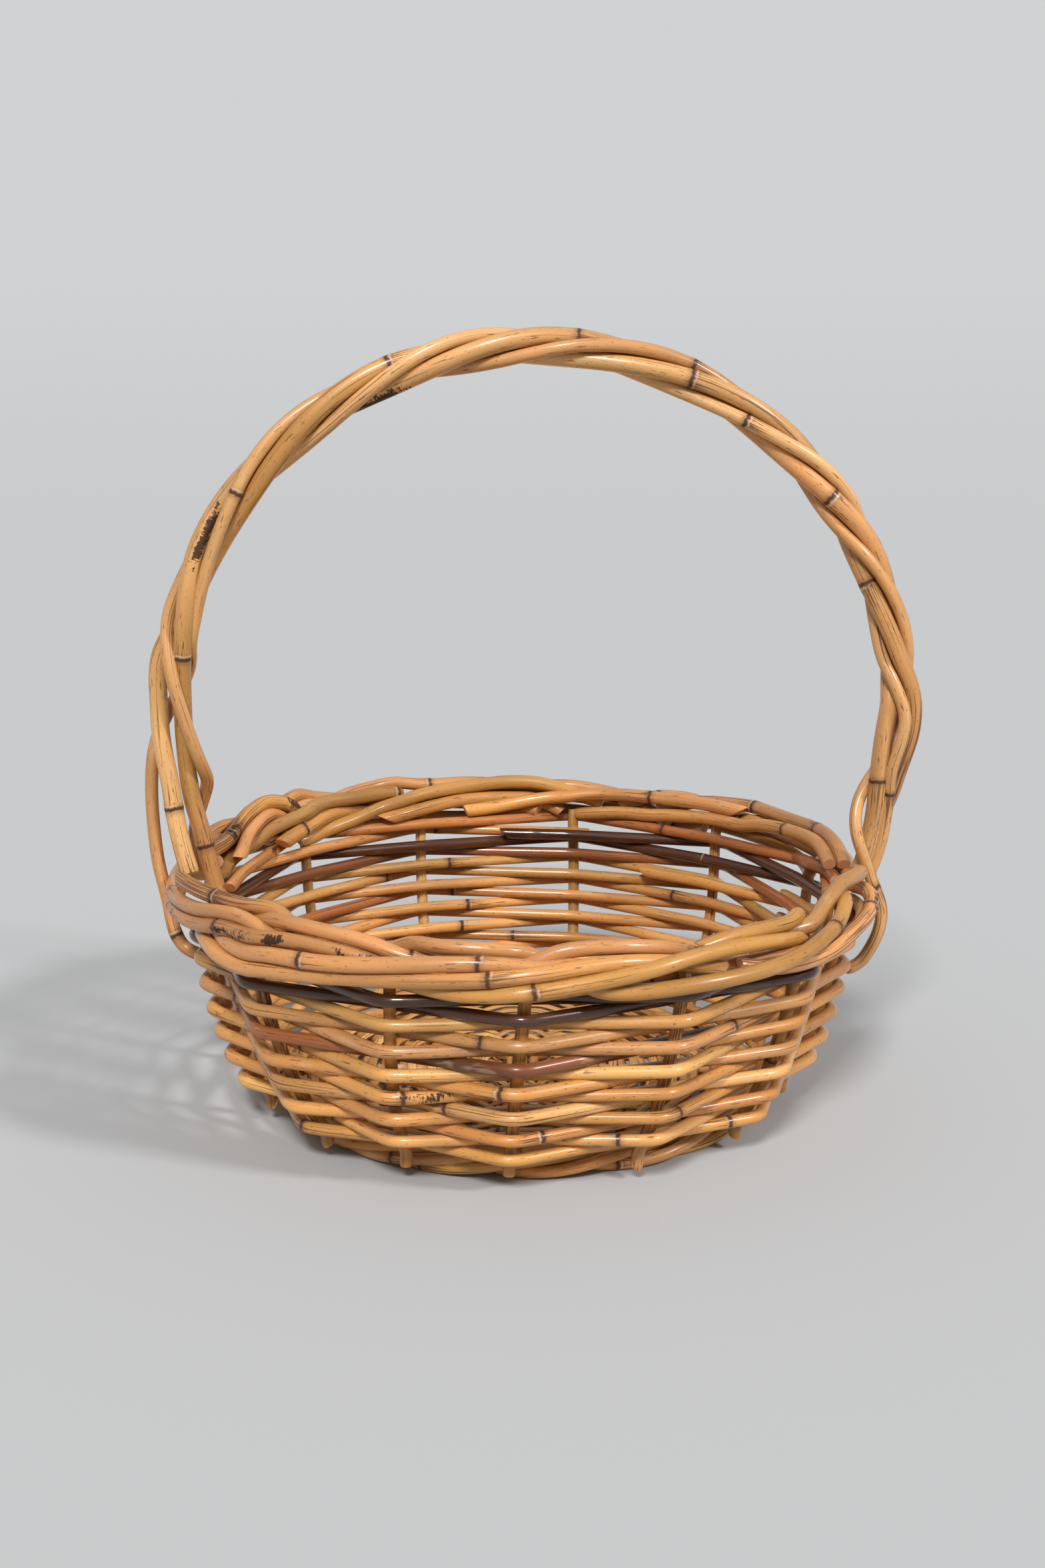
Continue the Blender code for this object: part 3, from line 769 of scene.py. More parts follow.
@dataclass
class Weave:
    """The side's weaving: one spiral, in front of a stake and behind the next, in many canes."""

    wall: Wall
    bend: float = 0.0030
    rounding: float = 0.0034
    tuck: float = 0.0064
    long_end: float = 0.46
    rows: int = 14
    short_end: float = 0.15
    lengths: tuple[WovenLength, ...] = (
        WovenLength(35, 19, Skin(((0.0, Tone.HONEY), (0.35, Tone.RUSSET), (0.5, Tone.HONEY),
            (0.8, Tone.TAN), (1.0, Tone.HONEY)), 0.5, scorches=(Scorch(0.12, 0.11, 60.0, 80.0, 0.62),)),
            (True, False)),
        WovenLength(19, -9, Skin(((0.0, Tone.BLACK), (0.10, Tone.SOOT), (0.22, Tone.BLACK),
            (0.45, Tone.SOOT), (0.60, Tone.BLACK), (0.80, Tone.SOOT), (0.86, Tone.UMBER),
            (1.0, Tone.RUSSET)), 0.45, joints=(0.02, 0.46, 0.78, 1.27, 1.60, 1.95)), (True, True),
            dark=True),
        WovenLength(-9, -21, Skin(((0.0, Tone.HONEY), (0.4, Tone.OLIVE), (1.0, Tone.OLIVE)), 0.3,
            joints=(0.16, 0.54, 0.86)), (False, False)),
        WovenLength(-21, -35, Skin(((0.0, Tone.GOLD), (0.3, Tone.TAN), (1.0, Tone.OLIVE)), 0.3,
            joints=(0.23, 0.49, 0.93)), (True, True)),
        WovenLength(-35, -51, Skin(((0.0, Tone.PEACH), (0.4, Tone.TAN), (1.0, Tone.HONEY)), 0.35,
            scorches=(Scorch(0.50, 0.05, 260.0, 60.0, 0.60),)), (False, False)),
        WovenLength(-51, -63, Skin(((0.0, Tone.SOOT), (0.09, Tone.UMBER), (0.15, Tone.SOOT),
            (0.20, Tone.RUSSET), (0.5, Tone.RUSSET), (0.7, Tone.GOLD), (1.0, Tone.GOLD)), 0.35,
            joints=(0.30, 0.62)), (True, False)),
        WovenLength(-63, -77, Skin(((0.0, Tone.STRAW), (0.3, Tone.GOLD), (1.0, Tone.PEACH)), 0.3,
            joints=(0.33, 0.70, 1.02)), (True, True)),
        WovenLength(-77, -91, Skin(((0.0, Tone.GOLD), (1.0, Tone.GOLD)), 0.28,
            joints=(0.10, 0.31, 0.78)), (False, False)),
        WovenLength(-91, -103, Skin(((0.0, Tone.GOLD), (1.0, Tone.STRAW)), 0.35,
            joints=(0.092, 0.52, 0.83), scorches=(Scorch(0.077, 0.035, 270.0, 100.0, 0.50),)), (True, True)),
        WovenLength(-103, -117, Skin(((0.0, Tone.STRAW), (0.5, Tone.GOLD), (1.0, Tone.GOLD)), 0.5),
            (False, False)),
        WovenLength(-117, -131, Skin(((0.0, Tone.GOLD), (1.0, Tone.HONEY)), 0.28), (True, False)),
        WovenLength(-131, -145, Skin(((0.0, Tone.GOLD), (0.5, Tone.STRAW), (1.0, Tone.GOLD)), 0.25),
            (True, False)),
        WovenLength(-145, -163, Skin(((0.0, Tone.STRAW), (0.6, Tone.GOLD), (1.0, Tone.TAN)), 0.35),
            (True, True)),
    )

    def _corner(self, step: int, inward: float = 0.0) -> np.ndarray:
        """The two ends of the short bend where the spiral meets a stake, on the way down.

        Even steps bend outside the stake and odd steps inside it, a little further in by inward.
        """
        rng = np.random.default_rng(7000 + step)
        height = self.wall.row_height(step) + rng.uniform(-0.0007, 0.0007)
        azimuth = float(self.wall.azimuth(step, np.array(height)))
        radius = float(self.wall.radius(np.array(height)))
        rise = float(self.wall.radius(np.array(height + 0.003)) - self.wall.radius(np.array(height - 0.003)))
        offset = (self.wall.stake_radius + self.wall.weaver_radius + self.wall.gap) / math.cos(
            math.atan2(rise, 0.006))
        away = offset + 0.0012 if step % 2 == 0 else -offset - rng.uniform(-0.0002, 0.0004) - inward
        spread = math.degrees(self.bend / radius)
        return ring_points(np.array([azimuth + spread, azimuth - spread]), radius + away, height)

    def _end(self, step: int, beyond: int, tucked: bool) -> np.ndarray:
        """A cane's tip, past its last stake on the side of the step beyond.

        A tucked tip keeps its distance from the basket's axis, and the other one starts outwards.
        """
        bend = self._corner(step, self.tuck if tucked else 0.0)
        last = bend[0] if beyond > step else bend[-1]
        ahead = self._corner(beyond)
        aim = ahead[-1] if beyond > step else ahead[0]
        tip = last + (aim - last) * (self.long_end if tucked else self.short_end)
        if tucked:
            reach = math.hypot(last[0], last[1]) / math.hypot(tip[0], tip[1])
            tip[:2] *= reach
        return tip

    def path(self, woven: WovenLength) -> np.ndarray:
        """The rounded path of one cane, with its two ends past the stakes that hold them."""
        bends = [self._corner(step) for step in range(woven.first, woven.last - 1, -1)]
        bends[0] = self._corner(woven.first, self.tuck if woven.tucked[0] else 0.0)
        bends[-1] = self._corner(woven.last, self.tuck if woven.tucked[1] else 0.0)
        tips = (self._end(woven.first, woven.first + 1, woven.tucked[0]),
                self._end(woven.last, woven.last - 1, woven.tucked[1]))
        return rounded_path(np.concatenate([tips[:1], *bends, tips[1:]]), self.rounding)

    def _row_nodes(self, woven: WovenLength) -> list[str]:
        """The CAD rows whose middle lies on this cane."""
        turn, top = len(self.wall.azimuths), self.lengths[1].first
        middles = [(row + 1, top - turn * row - turn // 2) for row in range(self.rows)]
        return [f"weaver_{row:02d}" for row, middle in middles if woven.last < middle <= woven.first]

    def build(self, finishes: Finishes) -> None:
        """Make every cane of the weaving.

        Args:
            finishes: The basket's materials.
        """
        for index, woven in enumerate(self.lengths):
            material = finishes.dark_weaver if woven.dark else finishes.weaver
            slot = "dark_weaver" if woven.dark else "weaver"
            Cane(f"woven_cane_{index + 1:02d}", self.path(woven), woven.radius, woven.skin, 300 + index,
                 slants=(0.006, -0.005), taper=(1.04, 0.95)).build(material, slot, self._row_nodes(woven))


@dataclass(frozen=True)
class Strand:
    """One cane of the border: its route as azimuths with a lane or a (radius, height), and its look."""

    name: str
    route: tuple[tuple[float, Lane | tuple[float, float]], ...]
    skin: Skin
    nodes: tuple[str, ...] = ()
    radius: float = 0.0040
    slants: tuple[float, float] = (0.003, 0.003)

    def points(self) -> np.ndarray:
        """The route's points, evenly spaced, before the border is pressed together."""
        places = np.array([lane.value if isinstance(lane, Lane) else lane for _, lane in self.route])
        azimuths = np.array([azimuth for azimuth, _ in self.route])
        return through_points(ring_points(azimuths, places[:, 0], places[:, 1]))


@dataclass
class PressedCanes:
    """Presses canes that cross against each other, so that they touch and don't pass through.

    Each cane is a chain of points. In turn, points of different canes that are too close are pushed
    apart along the line between them, each chain is smoothed towards the middle of its neighbours'
    places, and each point is drawn a little to its guide. Points of fixed canes only push.
    """

    rounds: int = 90
    stiffness: float = 0.22
    hold: float = 0.02
    reach: float = 0.024

    def press(self, chains: list[np.ndarray], radii: Sequence[float],
              fixed: Sequence[bool]) -> list[np.ndarray]:
        """Press the canes together.

        Args:
            chains: Each cane's points, about half a thickness apart.
            radii: Each cane's radius.
            fixed: Whether each cane stays as it is.

        Returns:
            The pressed chains, in the same order.
        """
        owner = np.concatenate([np.full(len(chain), k) for k, chain in enumerate(chains)])
        place = np.concatenate(chains)
        guide = place.copy()
        radius = np.array(radii)[owner]
        held = np.array(fixed)[owner]
        inner = np.flatnonzero((np.roll(owner, 1) == owner) & (np.roll(owner, -1) == owner) & ~held)
        apart = np.linalg.norm(place[:, None] - place[None], axis=-1)
        first, second = np.nonzero(np.triu(apart < self.reach, 1))
        keep = (owner[first] != owner[second]) & ~(held[first] & held[second])
        first, second = first[keep], second[keep]
        need = (radius[first] + radius[second]) * 0.99
        share = np.where(held[first], 0.0, np.where(held[second], 1.0, 0.5))[:, None]
        for _ in range(self.rounds):
            gap = place[second] - place[first]
            distance = np.linalg.norm(gap, axis=1)
            short = np.maximum(need - distance, 0.0)
            push = gap / np.maximum(distance, 1e-6)[:, None] * short[:, None]
            move, count = np.zeros_like(place), np.zeros(len(place))
            np.add.at(move, first, -push * share)
            np.add.at(move, second, push * (1 - share))
            np.add.at(count, first, short > 0)
            np.add.at(count, second, short > 0)
            place = place + move / np.maximum(count, 1.0)[:, None] * 1.2
            between = (place[inner - 1] + place[inner + 1]) / 2
            place[inner] += self.stiffness * (between - place[inner])
            place[~held] += self.hold * (guide - place)[~held]
        starts = np.cumsum([0] + [len(chain) for chain in chains])
        return [place[a:b] for a, b in zip(starts[:-1], starts[1:])]


def _skin(tone: Tone, streaks: float = 0.3, joints: tuple[float, ...] | None = None,
          scorches: tuple[Scorch, ...] = (), shade: float = 0.82) -> Skin:
    """A skin of one tone from end to end."""
    return Skin(((0.0, tone), (1.0, tone)), streaks, joints, scorches, shade)


@dataclass
class Border:
    """The rim: canes that rise from low outside, cross over the top and end inside."""

    weave: Weave
    strands: tuple[Strand, ...] = (
        Strand("leg_loop", ((-128, Lane.CORE), (-118, Lane.OUTER_TOP), (-108, (0.1915, 0.1325)),
            (-98, (0.1955, 0.1290)), (-90, (0.1968, 0.1265)), (-80, (0.1965, 0.1270)),
            (-68, (0.1945, 0.1295)), (-56, (0.1905, 0.1325)), (-48, (0.1870, 0.1330)), (-40, Lane.CORE)),
            _skin(Tone.PEACH, 0.3), ("border_hoop_high",)),
        Strand("scorched_loop", ((-140, Lane.CORE_LOW), (-128, Lane.OUTER_LOW),
            (-110, (0.1950, 0.1205)), (-98, (0.1968, 0.1185)), (-82, (0.1968, 0.1190)),
            (-66, (0.1940, 0.1240)), (-55, (0.1905, 0.1280)), (-45, (0.1870, 0.1310)),
            (-34, (0.1845, 0.1320)), (-25, (0.1800, 0.1290)), (-17, Lane.INNER_LOW)), Skin(((0.0, Tone.TAN),
            (0.5, Tone.PEACH), (1.0, Tone.TAN)), 0.4, (0.291,), (Scorch(0.307, 0.050, 85.0, 60.0, 0.62),
            Scorch(0.338, 0.016, 85.0, 50.0, 1.0), Scorch(0.225, 0.050, 80.0, 60.0, 0.52),
            Scorch(0.385, 0.034, 70.0, 60.0, 0.55)), 0.82), ("border_front_1",), 0.0042),
        Strand("striped_start", ((-75, (0.1925, 0.1385)), (-68, (0.1905, 0.1400)),
            (-62, (0.1870, 0.1400)), (-54, (0.1815, 0.1395)), (-46, (0.1770, 0.1370)), (-39, Lane.INNER),
            (-31, Lane.INNER_LOW)), _skin(Tone.TAN, 0.95), ("border_front_2",), 0.0042),
        Strand("long_top", ((-61, (0.1730, 0.1260)), (-53, (0.1765, 0.1320)), (-44, (0.1800, 0.1385)),
            (-36, (0.1812, 0.1395)), (-28, (0.1800, 0.1385)), (-21, (0.1765, 0.1335)), (-14, Lane.INNER),
            (-7, Lane.INNER_LOW)), Skin(((0.0, Tone.GOLD), (0.6, Tone.PEACH), (1.0, Tone.TAN)), 0.35)),
        Strand("front_outer", ((-69, Lane.CORE_LOW), (-58, (0.1890, 0.1215)), (-50, (0.1920, 0.1235)),
            (-42, (0.1935, 0.1256)), (-33, (0.1935, 0.1265)), (-23, (0.1905, 0.1287)),
            (-10, (0.1880, 0.1325)), (-2, (0.1870, 0.1310)), (6, (0.1820, 0.1265)), (13, Lane.CORE_LOW)),
            _skin(Tone.PEACH, 0.25, (0.115, 0.208)), ("border_front_3",), 0.0043),
        Strand("front_swoop", ((-66, (0.1850, 0.1180)), (-57, (0.1915, 0.1190)),
            (-49, (0.1945, 0.1165)), (-38, (0.1915, 0.1172)), (-24, (0.1885, 0.1212)),
            (-12, (0.1900, 0.1236)), (-2, (0.1912, 0.1272)), (6, (0.1880, 0.1303)), (13, (0.1860, 0.1318)),
            (21, (0.1840, 0.1295)), (28, (0.1805, 0.1255)), (35, Lane.CORE_LOW)), Skin(((0.0, Tone.PEACH),
            (0.5, Tone.TAN), (1.0, Tone.GOLD)), 0.3, (0.205,)), ("border_front_4",), 0.0042),
        Strand("front_rise", ((-20, Lane.CORE_LOW), (-9, (0.1885, 0.1180)), (2, (0.1912, 0.1208)),
            (9, (0.1922, 0.1238)), (17, (0.1920, 0.1274)), (25, (0.1895, 0.1310)), (35, (0.1860, 0.1315)),
            (44, (0.1835, 0.1285)), (52, (0.1800, 0.1240)), (60, Lane.INNER_LOW)), _skin(Tone.GOLD, 0.28,
            (0.072,)), (), 0.0042),
        Strand("front_inner", ((-31, Lane.INNER_LOW), (-23, Lane.INNER), (-17, (0.1775, 0.1355)),
            (-9, (0.1780, 0.1378)), (-3, (0.1775, 0.1368)), (3, Lane.INNER), (9, Lane.INNER_LOW)),
            _skin(Tone.PEACH, 0.1, ()), (), 0.0041),
        Strand("front_crown", ((-5, Lane.INNER_LOW), (1, (0.1750, 0.1300)), (6, (0.1778, 0.1362)),
            (12, (0.1785, 0.1380)), (19, (0.1780, 0.1365)), (26, (0.1755, 0.1320)), (33, Lane.INNER_LOW)),
            _skin(Tone.PEACH, 0.2, ()), (), 0.0040),
        Strand("peeled_top", ((28.5, (0.1745, 0.1285)), (32, (0.1778, 0.1330)), (38, (0.1790, 0.1345)),
            (46, (0.1785, 0.1325)), (52, (0.1775, 0.1295)), (58, (0.1765, 0.1255))), _skin(Tone.GOLD, 0.45,
            (0.088,)), (), 0.0041, (0.010, 0.003)),
        Strand("right_sweep", ((6, Lane.CORE_LOW), (17, (0.1885, 0.1165)), (26, (0.1925, 0.1180)),
            (34, (0.1945, 0.1188)), (42, (0.1950, 0.1196)), (50, (0.1945, 0.1215)), (58, (0.1930, 0.1250)),
            (64, (0.1900, 0.1310)), (69, (0.1850, 0.1345)), (75, (0.1790, 0.1310)), (80, Lane.INNER_LOW)),
            _skin(Tone.GOLD, 0.25), (), 0.0043),
        Strand("right_curl", ((50, Lane.INNER_LOW), (57, (0.1765, 0.1245)), (62, (0.1785, 0.1310)),
            (68, (0.1820, 0.1365)), (75, (0.1865, 0.1385)), (81, (0.1910, 0.1370)), (86, (0.1935, 0.1340))),
            _skin(Tone.TAN, 0.35), (), 0.0043),
        Strand("right_loop", ((36, Lane.CORE_LOW), (45, (0.1880, 0.1140)), (52, (0.1940, 0.1165)),
            (58, (0.1965, 0.1200)), (66, (0.1975, 0.1222)), (75, (0.1975, 0.1240)), (81, (0.1955, 0.1265)),
            (84, (0.1910, 0.1275)), (85.5, (0.1840, 0.1250))), Skin(((0.0, Tone.PEACH), (1.0, Tone.TAN)),
            0.75, None, (Scorch(0.130, 0.030, 60.0, 50.0, 0.65), Scorch(0.245, 0.030, 30.0, 60.0, 0.6))),
            ("border_hoop_low",), 0.0041),
        Strand("right_under", ((52, Lane.CORE_LOW), (62, (0.1905, 0.1145)), (72, (0.1925, 0.1160)),
            (80, (0.1915, 0.1175)), (85, (0.1840, 0.1170))), _skin(Tone.PEACH, 0.6), (), 0.0040),
        Strand("right_behind", ((93, (0.1840, 0.1170)), (97, (0.1900, 0.1185)), (104, (0.1935, 0.1190)),
            (112, (0.1940, 0.1200)), (124, (0.1925, 0.1240)), (136, Lane.OUTER), (148, Lane.OUTER_TOP),
            (160, Lane.CORE)), _skin(Tone.PEACH, 0.6), ("border_back_1",), 0.0040),
        Strand("right_shoulder", ((92.5, (0.1850, 0.1230)), (97, (0.1905, 0.1270)),
            (106, (0.1925, 0.1275)), (117, (0.1905, 0.1300)), (126, (0.1870, 0.1320)), (134, Lane.CORE)),
            _skin(Tone.GOLD, 0.4), (), 0.0040),
        Strand("back_stub", ((111, (0.1745, 0.1200)), (107, (0.1755, 0.1215)), (101, (0.1765, 0.1225)),
            (95, (0.1770, 0.1225)), (91, (0.1765, 0.1200))), _skin(Tone.RUSSET, 0.4, ()), (), 0.0040,
            (0.006, 0.002)),
        Strand("back_shoulder", ((93, (0.1845, 0.1265)), (96, (0.1835, 0.1340)),
            (102, (0.1845, 0.1385)), (111, (0.1855, 0.1380)), (122, (0.1855, 0.1365)),
            (134, (0.1835, 0.1370)), (143, Lane.OUTER_TOP), (152, Lane.CORE)), _skin(Tone.TAN, 0.4,
            (0.052, 0.118)), (), 0.0042),
        Strand("back_descent", ((93, (0.1775, 0.1260)), (97, (0.1770, 0.1330)), (103, (0.1770, 0.1360)),
            (110, (0.1765, 0.1350)), (118, (0.1765, 0.1335)), (132, (0.1760, 0.1300)),
            (143, (0.1760, 0.1265)), (157, (0.1750, 0.1235)), (170, Lane.CORE_LOW)), _skin(Tone.GOLD, 0.3),
            ("border_back_2",), 0.0042),
        Strand("back_split_end", ((129, (0.1800, 0.1345)), (135, (0.1785, 0.1358)),
            (144, (0.1785, 0.1352)), (152, (0.1780, 0.1338)), (165, (0.1780, 0.1338)),
            (174, (0.1772, 0.1310)), (184, (0.1745, 0.1265)), (193, Lane.INNER_LOW)),
            Skin(((0.0, Tone.PEACH), (0.4, Tone.TAN), (0.6, Tone.HONEY), (1.0, Tone.GOLD)), 0.35, (0.072,)),
            (), 0.0043, (0.012, 0.003)),
        Strand("back_crown", ((163, Lane.CORE), (169, (0.1830, 0.1315)), (175, (0.1822, 0.1390)),
            (183, (0.1820, 0.1398)), (192, (0.1805, 0.1380)), (203, (0.1785, 0.1340)),
            (213, (0.1770, 0.1285)), (223, (0.1775, 0.1240)), (233, (0.1800, 0.1185))), _skin(Tone.GOLD,
            0.2, (0.240,)), ("border_back_3",), 0.0043),
        Strand("back_ridge", ((148, Lane.CORE_LOW), (157, (0.1890, 0.1290)), (166, (0.1895, 0.1345)),
            (176, (0.1885, 0.1358)), (192, (0.1870, 0.1375)), (204, (0.1860, 0.1392)),
            (213, (0.1865, 0.1385)), (223, (0.1885, 0.1345)), (234, Lane.OUTER), (245, Lane.CORE)),
            _skin(Tone.PEACH, 0.35), (), 0.0041),
        Strand("olive_descent", ((205, (0.1845, 0.1360)), (211, (0.1835, 0.1385)),
            (219, (0.1820, 0.1375)), (231, (0.1800, 0.1325)), (243, (0.1785, 0.1300)),
            (254, (0.1785, 0.1240)), (262, (0.1810, 0.1180))), _skin(Tone.OLIVE, 0.3, (0.004,)), (), 0.0044,
            (0.001, 0.003)),
        Strand("left_shoulder", ((200, Lane.CORE_LOW), (211, (0.1905, 0.1310)), (221, (0.1908, 0.1350)),
            (231, (0.1905, 0.1355)), (241, (0.1900, 0.1340)), (252, (0.1905, 0.1320)),
            (261, (0.1900, 0.1335))), _skin(Tone.PEACH, 0.3), ("border_back_4",), 0.0041),
        Strand("oval_end", ((212.5, (0.1705, 0.1215)), (204, (0.1735, 0.1255)), (191, (0.1760, 0.1300)),
            (180, Lane.CORE), (171, Lane.CORE_LOW)), _skin(Tone.GOLD, 0.35, ()), (), 0.0042, (0.011, 0.002)),
        Strand("knuckle_end", ((242, (0.1700, 0.1205)), (232, (0.1740, 0.1255)),
            (223, (0.1780, 0.1300)), (214, Lane.CORE), (205, Lane.OUTER)), _skin(Tone.GOLD, 0.4, (0.031,)),
            (), 0.0045, (0.012, 0.002)),
        Strand("left_end", ((257, (0.1710, 0.1220)), (252, (0.1745, 0.1280)), (247, (0.1785, 0.1345)),
            (240, (0.1845, 0.1375)), (232, Lane.OUTER_TOP), (224, Lane.OUTER)), _skin(Tone.PEACH, 0.3, ()),
            (), 0.0041, (0.010, 0.002)),
        Strand("folded_stake", ((267, (0.1850, 0.1230)), (260, (0.1850, 0.1275)),
            (251, (0.1850, 0.1345)), (241, (0.1860, 0.1385)), (234, (0.1845, 0.1405)),
            (230, (0.1820, 0.1390)), (229, (0.1800, 0.1310)), (229, (0.1795, 0.1180))),
            Skin(((0.0, Tone.TAN), (0.3, Tone.GOLD), (1.0, Tone.GOLD)), 0.9, (0.048,),
            (Scorch(0.052, 0.020, 60.0, 80.0, 0.7), Scorch(0.118, 0.014, 0.0, 120.0, 0.9))), (), 0.0045),
        Strand("behind_low_1", ((104, Lane.CORE_LOW), (114, (0.1880, 0.1140)), (126, (0.1920, 0.1165)),
            (142, (0.1935, 0.1195)), (156, (0.1930, 0.1240)), (168, Lane.OUTER), (180, (0.1930, 0.1300)),
            (192, Lane.OUTER_TOP), (203, Lane.CORE)), _skin(Tone.GOLD, 0.3)),
        Strand("behind_low_2", ((140, Lane.CORE_LOW), (150, (0.1880, 0.1150)), (162, (0.1930, 0.1170)),
            (178, (0.1940, 0.1205)), (192, (0.1940, 0.1240)), (206, (0.1935, 0.1280)),
            (218, (0.1935, 0.1300)), (230, (0.1930, 0.1290)), (241, Lane.CORE)), _skin(Tone.HONEY, 0.35)),
        Strand("behind_low_3", ((176, Lane.CORE_LOW), (187, (0.1885, 0.1150)), (200, (0.1930, 0.1165)),
            (214, (0.1945, 0.1195)), (228, (0.1945, 0.1215)), (242, (0.1940, 0.1260)),
            (252, (0.1940, 0.1270)), (262, Lane.CORE)), _skin(Tone.PEACH, 0.3)),
    )

    def build(self, finishes: Finishes, legs: Sequence[tuple[np.ndarray, float]]) -> None:
        """Press the border's canes together round the handle's legs, and make them.

        Args:
            finishes: The basket's materials.
            legs: The handle's rods where they pass the border, each with its radius.
        """
        chains = [strand.points() for strand in self.strands]
        radii = [strand.radius for strand in self.strands]
        fixed = [False] * len(chains)
        for woven in self.weave.lengths[:2]:
            path = self.weave.path(woven)
            chains.append(path[::4])
            radii.append(woven.radius)
            fixed.append(True)
        for leg, radius in legs:
            chains.append(leg)
            radii.append(radius)
            fixed.append(True)
        pressed = PressedCanes().press(chains, radii, fixed)
        for index, (strand, path) in enumerate(zip(self.strands, pressed)):
            fine = rounded_path(path, 0.003)
            Cane(f"border_{strand.name}", fine, strand.radius, strand.skin, 500 + index,
                 slants=strand.slants, taper=(1.03, 0.97)).build(finishes.border, "border", strand.nodes)


@dataclass
class Foot:
    """The foot: three canes twisted lazily into a ring that the basket stands on."""

    ring_radius: float = 0.1335
    cane_radius: float = 0.0032
    twist_out: float = 0.0041
    twist_up: float = 0.0036
    turns: int = 6
    strands: int = 3

    def build(self, finishes: Finishes) -> None:
        """Make the three canes.

        Each winds round the ring: its distance from the basket's axis follows the twist's cosine, and
        its height follows the sine, with a slow wander of a few tenths of a millimetre.

        Args:
            finishes: The basket's materials.
        """
        tones = ((Tone.HONEY, Tone.GOLD), (Tone.GOLD, Tone.OLIVE), (Tone.TAN, Tone.HONEY))
        turn = np.linspace(0.0, 1.0, 721)
        for strand in range(self.strands):
            lag = 2.2 * np.sin(math.tau * (turn * 2 + strand / 3)) * math.pi / 18
            phase = -math.pi / 2 + math.tau * (self.turns * turn + strand / self.strands) + lag
            radius = self.ring_radius + self.twist_out * np.cos(phase)
            height = self.cane_radius + 0.0003 + self.twist_up * (1 + np.sin(phase))
            path = ring_points(360.0 * turn, radius, height)
            first, second = tones[strand]
            skin = Skin(((0.0, first), (0.5, second), (1.0, first)), 0.4, shade=0.95)
            Cane(f"foot_cane_{strand + 1}", path, self.cane_radius, skin, 700 + strand,
                 closed=True).build(finishes.foot, "foot", [f"foot_strand_{strand + 1}"])


@dataclass
class Floor:
    """The floor: twelve spokes from six crossing sticks, woven round with narrow split cane."""

    height: float = 0.0106
    per_side: int = 3
    spacing: float = 0.0066
    cross: float = 0.0110
    ramp: float = 0.0140
    step: float = 0.0030
    reach: float = 0.1315
    stick_radius: float = 0.0027
    first_ring: float = 0.0245
    last_ring: float = 0.1300
    split_width: float = 0.0056
    split_share: float = 0.38
    edge_radius: float = 0.1378
    edge_height: float = 0.0164

    def _stick(self, side_deg: float, index: int) -> np.ndarray:
        """A stick: beside its neighbours where it crosses the others, then fanned out to two spokes."""
        middle = (self.per_side - 1) / 2
        beside = (index - middle) * self.spacing
        fan = math.radians((index - middle) * 90.0 / self.per_side)
        lift = self.step if side_deg == 0.0 else -self.step
        corner = np.array((self.cross, beside, self.height + lift))
        tip = np.array((self.reach * math.cos(fan), self.reach * math.sin(fan), self.height))
        knee = corner + (tip - corner) * self.ramp / np.linalg.norm(tip - corner)
        knee[2] = self.height
        half = np.array([tip, knee, corner])
        run = np.concatenate([half, half[::-1] * (-1.0, 1.0, 1.0)])
        side = math.radians(side_deg)
        turned = np.stack([run[:, 0] * math.sin(side) + run[:, 1] * math.cos(side),
                           -run[:, 0] * math.cos(side) + run[:, 1] * math.sin(side), run[:, 2]], axis=-1)
        return rounded_path(turned, 0.003)

    def _ring(self, radius: float, phase: int) -> np.ndarray:
        """A split cane's path round the spokes: its height is a cosine that peaks over every other one."""
        rng = np.random.default_rng(900 + int(radius * 10000))
        turn = np.linspace(0.0, 360.0, 361)
        spokes = 4 * self.per_side
        wave = np.clip(1.25 * np.cos(math.pi * (turn * spokes / 360.0 + phase)), -1.0, 1.0)
        swing = (self.stick_radius + self.split_width * self.split_share / 2) * min(1.0, 0.6 + 8 * radius)
        wander = 0.0005 * np.sin(np.radians(turn * rng.integers(2, 5) + rng.uniform(0, 360)))
        return ring_points(turn, radius + wander, self.height + swing * wave)

    def build(self, finishes: Finishes, bands: Sequence[str]) -> None:
        """Make the sticks and the woven rings.

        Args:
            finishes: The basket's materials.
            bands: The CAD's bands from the middle outwards, each of which several rings stand for.
        """
        for side_name, side_deg in (("long", 0.0), ("cross", 90.0)):
            for index in range(self.per_side):
                tone = (Tone.GOLD, Tone.TAN, Tone.HONEY)[index]
                Cane(f"spoke_{side_name}_{index + 1}", self._stick(side_deg, index), self.stick_radius,
                     _skin(tone, 0.5), 800 + index + 10 * (side_deg > 0), across=(0.0, 0.0, 1.0),
                     ).build(finishes.floor, "floor", [f"floor_stick_{side_name}_{index + 1}"])
        edge = ring_points(np.linspace(0.0, 360.0, 361), self.edge_radius, self.edge_height)
        Cane("floor_edge", edge, self.stick_radius, _skin(Tone.HONEY, 0.5), 818,
             closed=True).build(finishes.floor, "floor", [])
        radii = np.arange(self.first_ring, self.last_ring, self.split_width + 0.0001)
        tones = (Tone.STRAW, Tone.GOLD, Tone.STRAW, Tone.HONEY, Tone.GOLD, Tone.STRAW, Tone.TAN)
        reaches = [max(corner.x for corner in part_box(band)) - AXIS_X for band in bands]
        taken = set()
        for index, radius in enumerate(radii):
            path = self._ring(float(radius), index % 2)
            outward = unit(path * (1.0, 1.0, 0.0))
            band = next((k for k, reach in enumerate(reaches) if radius < reach), len(bands) - 1)
            nodes = [] if band in taken else [bands[band]]
            taken.add(band)
            Cane(f"floor_ring_{index + 1:02d}", path, self.split_width / 2,
                 _skin(tones[index % len(tones)], 0.55), 820 + index, across=outward,
                 flat=self.split_share, step=0.003, sides=10, closed=True,
                 ).build(finishes.floor, "floor", nodes)


